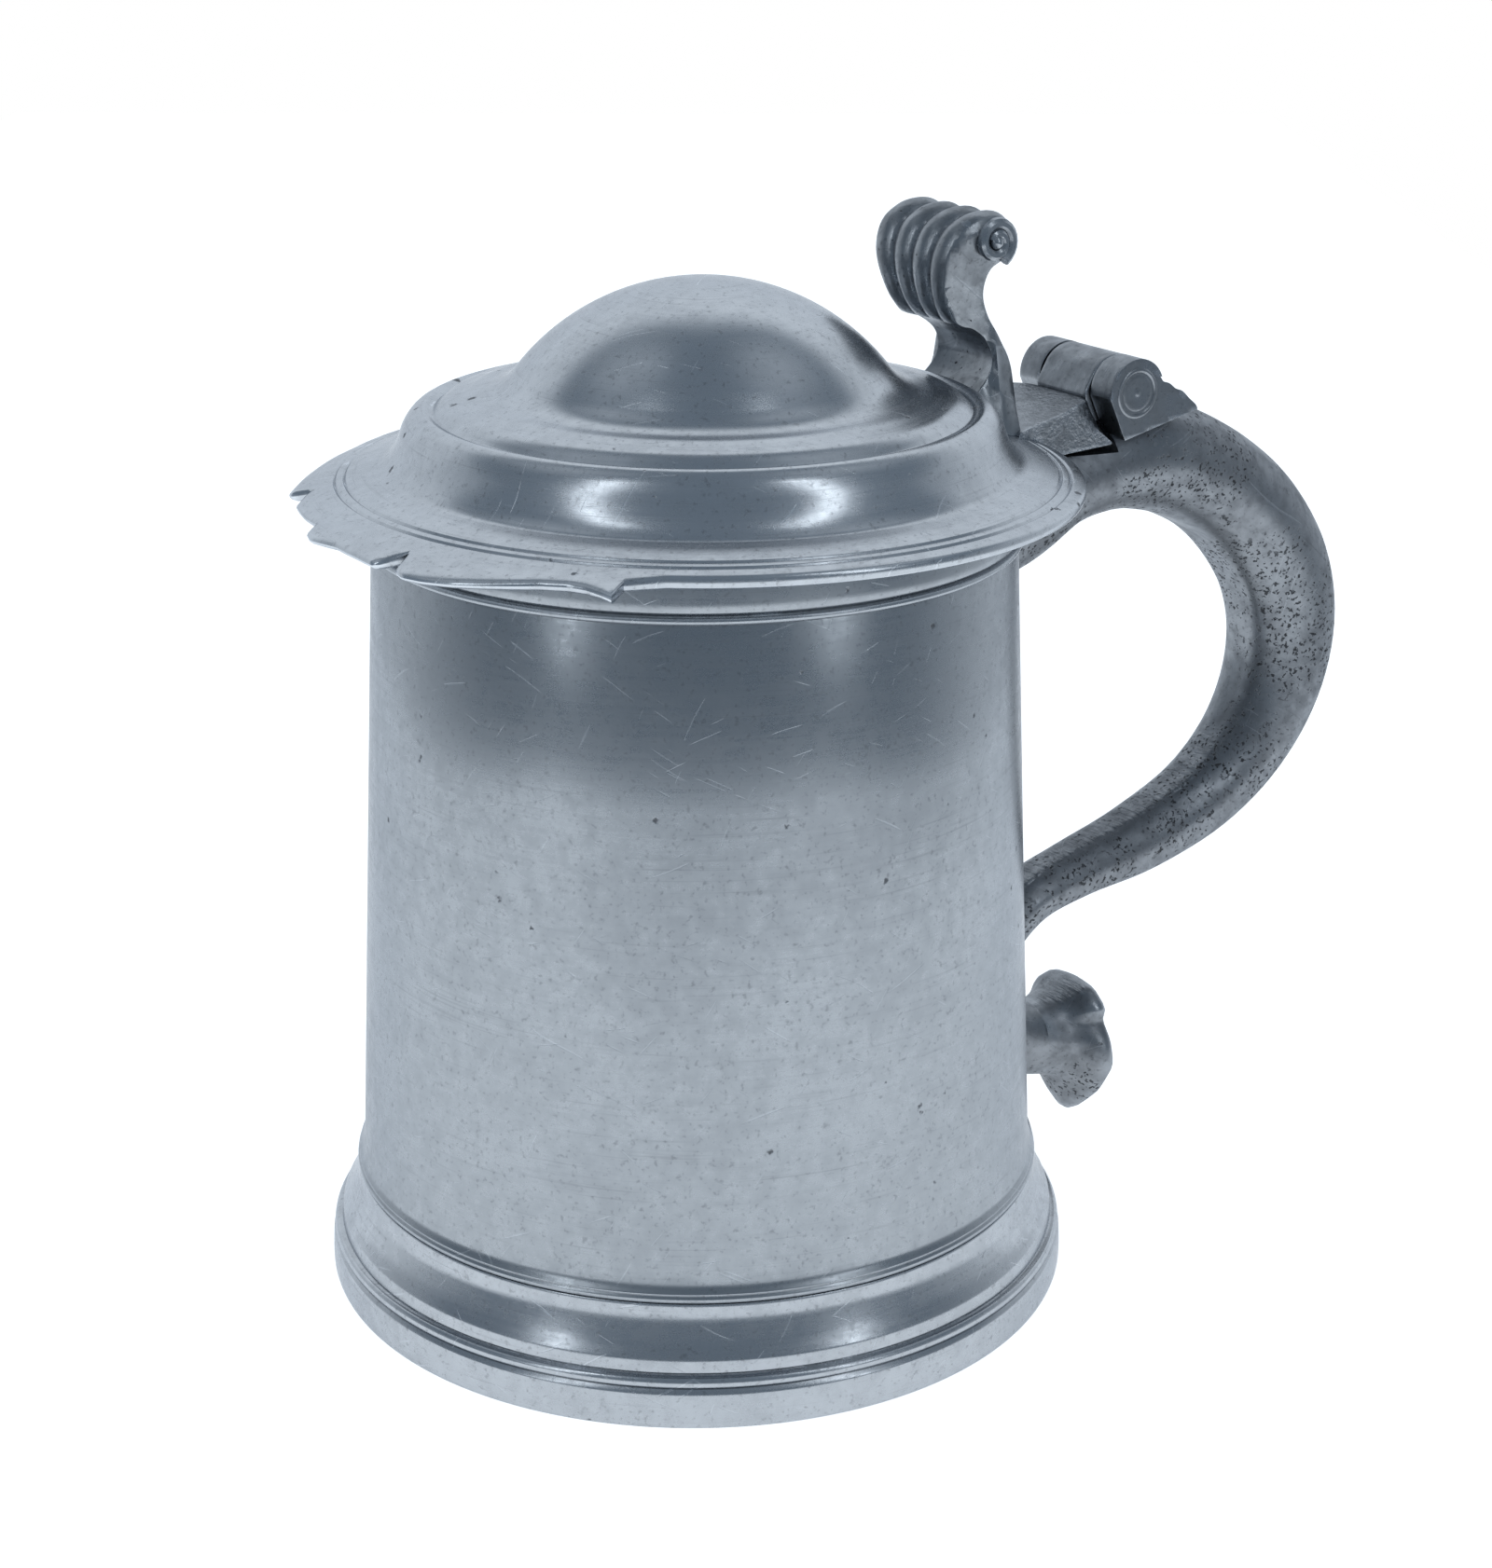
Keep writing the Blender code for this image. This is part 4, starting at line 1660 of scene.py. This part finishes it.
@dataclass
class Hinge:
    """The leaves, pin, caps and knuckle, and the plate that joins the knuckle to the lid."""

    drum_x: float
    x: float
    z: float
    knuckle_half_width: float
    barrel_r: float = 6.0
    cap_r: float = 4.6
    leaf_bore_r: float = 2.35
    knuckle_bore_r: float = 2.3

    def leaf(self, name: str, node: str, finish: PewterFinish) -> None:
        """One fixed leaf: a round head with a raised rim, and a scalloped bracket behind it.

        Args:
            name: The piece's name.
            node: The CAD node that it stands for.
            finish: Its finish.
        """
        low, high = span(node)
        side = -1 if low.y < 0 else 1
        head = arc((self.x, self.z), self.barrel_r, 186, 22, 32)
        crest = [
            (88.2, 148.0, 0.6),
            (89.3, 146.5, 0.5),
            (90.6, 146.3, 0.9),
            (92.3, 144.9, 0.7),
            (93.7, 144.6, 0.9),
            (95.5, 142.9, 0.8),
            (97.2, 141.6, 0.9),
            (97.6, 140.7, 0.5),
        ]
        front_x, back_x = self.x - 2.4, self.drum_x + 97.5
        seat = [(back_x, low.z + seat_rise(back_x, self.x) - 1.0), (front_x, low.z - 0.1)]
        corners = [*head, *((self.drum_x + p[0], *p[1:]) for p in crest), *seat]
        outer = max(low.y, high.y, key=abs)
        outline = evened(softened(corners, closed=True), LONGEST_CHORD)
        mesh = sliced_prism(outline, low.y, high.y, 8)
        eased(mesh, 0.45, 50.0)
        gridded(mesh, GRID_SPACING)
        leaf = as_object(name, mesh)
        bore = bmesh.new()
        for radius, start, end in (
            (self.leaf_bore_r, side * 5.0, side * 20.0),
            (self.cap_r + 0.2, outer - side * 1.3, outer + side * 3.0),
            (self.barrel_r - 0.75, outer - side * 0.28, outer + side * 3.0),
        ):
            pin_hole(bore, (self.x, self.z), radius, start, end)
        cut_by(leaf, as_object(f"{name}_bore", bore))
        publish(leaf, finish, "vessel", [node], sharp=45)

    def cap(self, name: str, node: str, finish: PewterFinish) -> None:
        """The disc that closes a leaf, with a worn ring near its edge.

        Args:
            name: The piece's name.
            node: The CAD node that it stands for.
            finish: Its finish.
        """
        low, high = span(node)
        side = -1 if low.y < 0 else 1
        thick = high.y - low.y
        profile = softened(
            [
                (0.0, thick - 0.15),
                (0.7, thick - 0.3, 0.3),
                (3.0, thick - 0.22, 0.5),
                (3.5, thick - 0.42, 0.15),
                (3.8, thick - 0.1, 0.2),
                (4.35, thick - 0.12, 0.3),
                (self.cap_r, thick - 0.5, 0.2),
                (self.cap_r, 0.0, 0.1),
                (0.0, 0.0),
            ]
        )
        mesh = turned(profile, 0.0, 72, closed=False)
        bmesh.ops.rotate(mesh, matrix=Matrix.Rotation(side * -pi / 2, 3, "X"), verts=mesh.verts)
        base = min((low.y, high.y), key=abs)
        bmesh.ops.translate(mesh, vec=(self.x, base, self.z), verts=mesh.verts)
        publish(as_object(name, mesh), finish, "vessel", [node])

    def knuckle(self, finish: PewterFinish) -> None:
        """The lid's knuckle, with its web down to the plate.

        Args:
            finish: Its finish.
        """
        barrel = arc((self.x, self.z), self.barrel_r - 0.05, -112, 152, 44)
        web = [(76.4, 144.9, 0.8), (77.0, 141.4, 0.5), (78.4, 139.4, 0.5)]
        corners = [*barrel, *((self.drum_x + p[0], *p[1:]) for p in web)]
        half = self.knuckle_half_width
        outline = evened(softened(corners, closed=True), LONGEST_CHORD)
        mesh = sliced_prism(outline, -half, half, 16)
        eased(mesh, 0.35, 50.0)
        gridded(mesh, GRID_SPACING)
        bore = bmesh.new()
        pin_hole(bore, (self.x, self.z), self.knuckle_bore_r, -20.0, 20.0)
        made = as_object("lid_centre_knuckle", mesh)
        cut_by(made, as_object("knuckle_bore", bore))
        publish(made, finish, "lid", ["lid_knuckle"], sharp=45)

    def plate(self, lid: Lid, finish: PewterFinish) -> None:
        """The wedge soldered to the lid's flange, with rounded rear corners.

        Args:
            lid: The lid that it stands on.
            finish: Its finish.
        """
        half, corner, splay = 10.6, 5.0, 0.10
        side = [
            (58.0, lid.flange_top(58.0) + 0.7, 0.5),
            (62.0, 142.0, 2.0),
            (76.2, 144.4, 0.7),
            (77.4, 141.4, 0.8),
            (79.9, 136.3, 0.6),
            (66.0, 135.7, 0.6),
            (64.3, 137.2, 0.5),
            (62.6, 139.0, 0.3),
            (58.0, 140.1, 0.2),
        ]
        corners = [(self.drum_x + p[0], *p[1:]) for p in side]
        outline = evened(softened(corners, closed=True), LONGEST_CHORD)
        mesh = sliced_prism(outline, -half, half, 28)
        for vert in mesh.verts:
            reach = abs(vert.co.y) - (half - corner)
            back = (vert.co.x - self.drum_x - 68.0) / 9.0
            if reach > 0 and back > 0:
                drop = corner * (1 - sqrt(max(0.0, 1 - (reach / corner) ** 2)))
                rise = clamped((vert.co.z - 136.6) / 6.5)
                vert.co.x -= drop * min(back, 1.0) * rise
            fore = (70.0 - (vert.co.x - self.drum_x)) / 12.0
            vert.co.y *= 1 + splay * max(0.0, fore)
        eased(mesh, 0.35, 40.0)
        gridded(mesh, GRID_SPACING)
        wedge = as_object("lid_plate", mesh)
        publish(wedge, finish, "lid", ["lid_hinge_plate"], sharp=45)

    def build(self, lid: Lid) -> None:
        """Makes every piece of the hinge.

        Args:
            lid: The lid that the plate stands on.
        """
        worn = PewterFinish(
            "pewter_hinge",
            polished=(0.30, 0.32, 0.345),
            patina=(0.145, 0.155, 0.168),
            stain_and_groove_shade=(0.045, 0.047, 0.05),
            grain=Grain.AROUND_PIN,
            grain_depth=0.022,
            gloss=0.25,
            dullness=0.15,
            skin_depth=0.03,
            pit_count=0.5,
            pit_size=0.2,
            pit_cover=0.2,
            centre_x=self.x,
        )
        rough = PewterFinish(
            "pewter_rough_plate",
            polished=(0.30, 0.32, 0.345),
            patina=(0.14, 0.15, 0.163),
            stain_and_groove_shade=(0.045, 0.047, 0.05),
            gloss=0.25,
            dullness=0.15,
            skin_depth=0.30,
            skin_count=1.1,
            pit_count=0.9,
            pit_cover=0.4,
        )
        self.leaf("leaf_near", "hinge_leaf_near", worn)
        self.leaf("leaf_far", "hinge_leaf_far", worn)
        self.cap("cap_near", "pin_cap_near", worn)
        self.cap("cap_far", "pin_cap_far", worn)
        self.knuckle(worn)
        self.plate(lid, rough)
        pin = frame["nodes"]["hinge_pin"]
        pin.data.materials.clear()
        pin.data.materials.append(IronFinish().material())
        log.info("hinge_pin: the CAD node with a new finish")


# --------------------------------------------------------------------------- studio


@dataclass(frozen=True)
class Softbox:
    """A tall soft light that faces the drum.

    Its azimuth is in degrees from the camera, positive to the camera's right, its power in
    watts and its other sizes in metres.
    """

    name: str
    azimuth: float
    power: float
    width: float = 0.11
    tall: float = 0.80
    distance: float = 0.70
    height: float = 0.56
    colour: Colour = (0.93, 0.97, 1.0)


@dataclass
class Studio:
    """A pale floor, two tall softboxes, the room around them and the camera, in metres."""

    centre_x: float
    camera_place: Point = (-0.2982, -0.4007, 0.2559)
    camera_turn: Point = (70.42, 0.18, -34.01)
    lens: float = 69.03
    sensor: float = 36.0
    floor_front: float = 0.45
    floor_reach: float = 1.6
    floor_left: float = 0.46
    floor_right: float = 0.39
    floor_colour: Colour = (0.9, 0.9, 0.9)
    floor_glow: Colour = (0.95, 0.98, 1.0)
    middle_z: float = 0.09
    boxes: tuple[Softbox, ...] = (
        Softbox("left_softbox", -43.0, 0.76),
        Softbox("right_softbox", 47.5, 0.80),
    )

    def facing(self) -> float:
        """Azimuth of the camera round the drum, in radians."""
        return atan2(self.camera_place[1], self.camera_place[0] - self.centre_x * MM)

    def place_camera(self) -> None:
        """The camera, at the object's own viewing angle."""
        data = bpy.data.cameras.new("studio_camera")
        data.lens = self.lens
        data.sensor_width = self.sensor
        data.clip_start = 0.01
        camera = bpy.data.objects.new("studio_camera", data)
        tilt, roll, pan = (radians(a) for a in self.camera_turn)
        aimed = Matrix.Rotation(pan, 4, "Z") @ Matrix.Rotation(tilt, 4, "X")
        turn = aimed @ Matrix.Rotation(roll, 4, "Z")
        camera.matrix_world = Matrix.Translation(self.camera_place) @ turn
        bpy.context.scene.collection.objects.link(camera)
        bpy.context.scene.camera = camera

    def lay_floor(self) -> None:
        """A pale floor that ends a little way in front of the object."""
        mesh = bmesh.new()
        bmesh.ops.create_grid(mesh, x_segments=1, y_segments=1, size=1.0)
        for vert in mesh.verts:
            front = vert.co.x > 0
            vert.co.x = self.floor_front if front else -self.floor_reach
            vert.co.y = self.floor_right if vert.co.y > 0 else -self.floor_left
        bmesh.ops.rotate(mesh, matrix=Matrix.Rotation(self.facing(), 3, "Z"), verts=mesh.verts)
        bmesh.ops.translate(mesh, vec=(self.centre_x * MM, 0, 0), verts=mesh.verts)
        data = bpy.data.meshes.new("studio_floor")
        mesh.to_mesh(data)
        mesh.free()
        floor = bpy.data.objects.new("studio_floor", data)
        bpy.context.scene.collection.objects.link(floor)
        paint = bpy.data.materials.new("pale_floor")
        paint.use_nodes = True
        shader = paint.node_tree.nodes["Principled BSDF"]
        shader.inputs["Base Color"].default_value = (*self.floor_colour, 1.0)
        shader.inputs["Roughness"].default_value = 0.9
        shader.inputs["Emission Color"].default_value = (*self.floor_glow, 1.0)
        shader.inputs["Emission Strength"].default_value = 0.8
        data.materials.append(paint)

    def light(self, box: Softbox) -> None:
        """Sets up one softbox.

        Args:
            box: Its place, size and power.
        """
        data = bpy.data.lights.new(box.name, "AREA")
        data.shape = "RECTANGLE"
        data.size, data.size_y = box.width, box.tall
        data.energy = box.power
        data.color = box.colour
        light = bpy.data.objects.new(box.name, data)
        turn = self.facing() + radians(box.azimuth)
        middle = Vector((self.centre_x * MM, 0, self.middle_z))
        aside, away = cos(turn) * box.distance, sin(turn) * box.distance
        place = middle + Vector((aside, away, box.height - middle.z))
        light.location = place
        light.rotation_mode = "QUATERNION"
        light.rotation_quaternion = (middle - place).to_track_quat("-Z", "Y")
        light.visible_camera = False
        bpy.context.scene.collection.objects.link(light)

    def surround(self) -> None:
        """The room: pale behind the tankard, dim elsewhere, and plain white to the camera."""
        world = bpy.data.worlds.new("studio_room")
        world.use_nodes = True
        bpy.context.scene.world = world
        recipe = Recipe(world.node_tree)
        x, y, z = recipe.split(recipe.texture_place("Generated"))
        turn = self.facing()
        level = (x * x + y * y + 0.0001) ** 0.5
        forward = (x * cos(turn) + y * sin(turn)) / level
        behind = forward.smooth(0.44, -0.98)
        low = (z + (forward + 1.0) * 0.6).smooth(0.95, 0.82)
        pale, dim = (0.98, 1.04, 1.10), (0.195, 0.242, 0.295)
        room = recipe.mix(behind * low, dim, pale)
        sideways = (y * cos(turn) - x * sin(turn)).size()
        overhead = sideways * 0.45 + z * 0.88 - forward * level * 0.1
        room = recipe.mix(overhead.smooth(0.93, 1.0) * 0.35, room, pale)
        shown = recipe.node("ShaderNodeLightPath", {}, {}).outputs["Is Camera Ray"]
        colour = recipe.mix(shown, room, (1.0, 1.0, 1.0))
        back = recipe.node("ShaderNodeBackground", {}, {"Color": colour, "Strength": 1.0})
        recipe.node("ShaderNodeOutputWorld", {}, {"Surface": back.outputs[0]})

    def build(self) -> None:
        """Sets up the whole studio."""
        self.place_camera()
        self.lay_floor()
        self.surround()
        for box in self.boxes:
            self.light(box)
        bpy.context.scene.view_settings.view_transform = "Standard"
        bpy.context.scene.view_settings.look = "None"
        log.info("studio: camera, floor, room and two softboxes")


# --------------------------------------------------------------------------- assembly


def main() -> None:
    """Builds every sub-assembly in order around the frame."""
    logging.basicConfig(level=logging.INFO, format="%(relativeCreated)6d ms %(name)s: %(message)s")
    drum_low, drum_high = span("drum")
    drum_x = (drum_low.x + drum_high.x) / 2
    _, cover_high = span("lid_cover")
    leaf_low, _ = span("hinge_leaf_far")
    _, knuckle_high = span("lid_knuckle")
    joint = frame["joints"][0]
    hinge_x, _, hinge_z = (value / MM for value in joint["pos_m"])

    vessel = Vessel(axis_x=drum_x, lip_z=drum_high.z, floor_z=span("floor_disc")[0].z)
    vessel.build()
    Handle(axis_x=drum_x, vessel=vessel, hinge_x=hinge_x, leaf_low_z=leaf_low.z - 0.3).build()
    lid = Lid(
        axis_x=cover_high.x - cover_high.y, flange_r=cover_high.y, top_z=cover_high.z
    )
    lid.build()
    Thumbpiece(drum_x=drum_x, lid=lid).build()
    hinge = Hinge(drum_x=drum_x, x=hinge_x, z=hinge_z, knuckle_half_width=knuckle_high.y)
    hinge.build(lid)
    Studio(centre_x=drum_x).build()


if __name__ == "__main__":
    main()
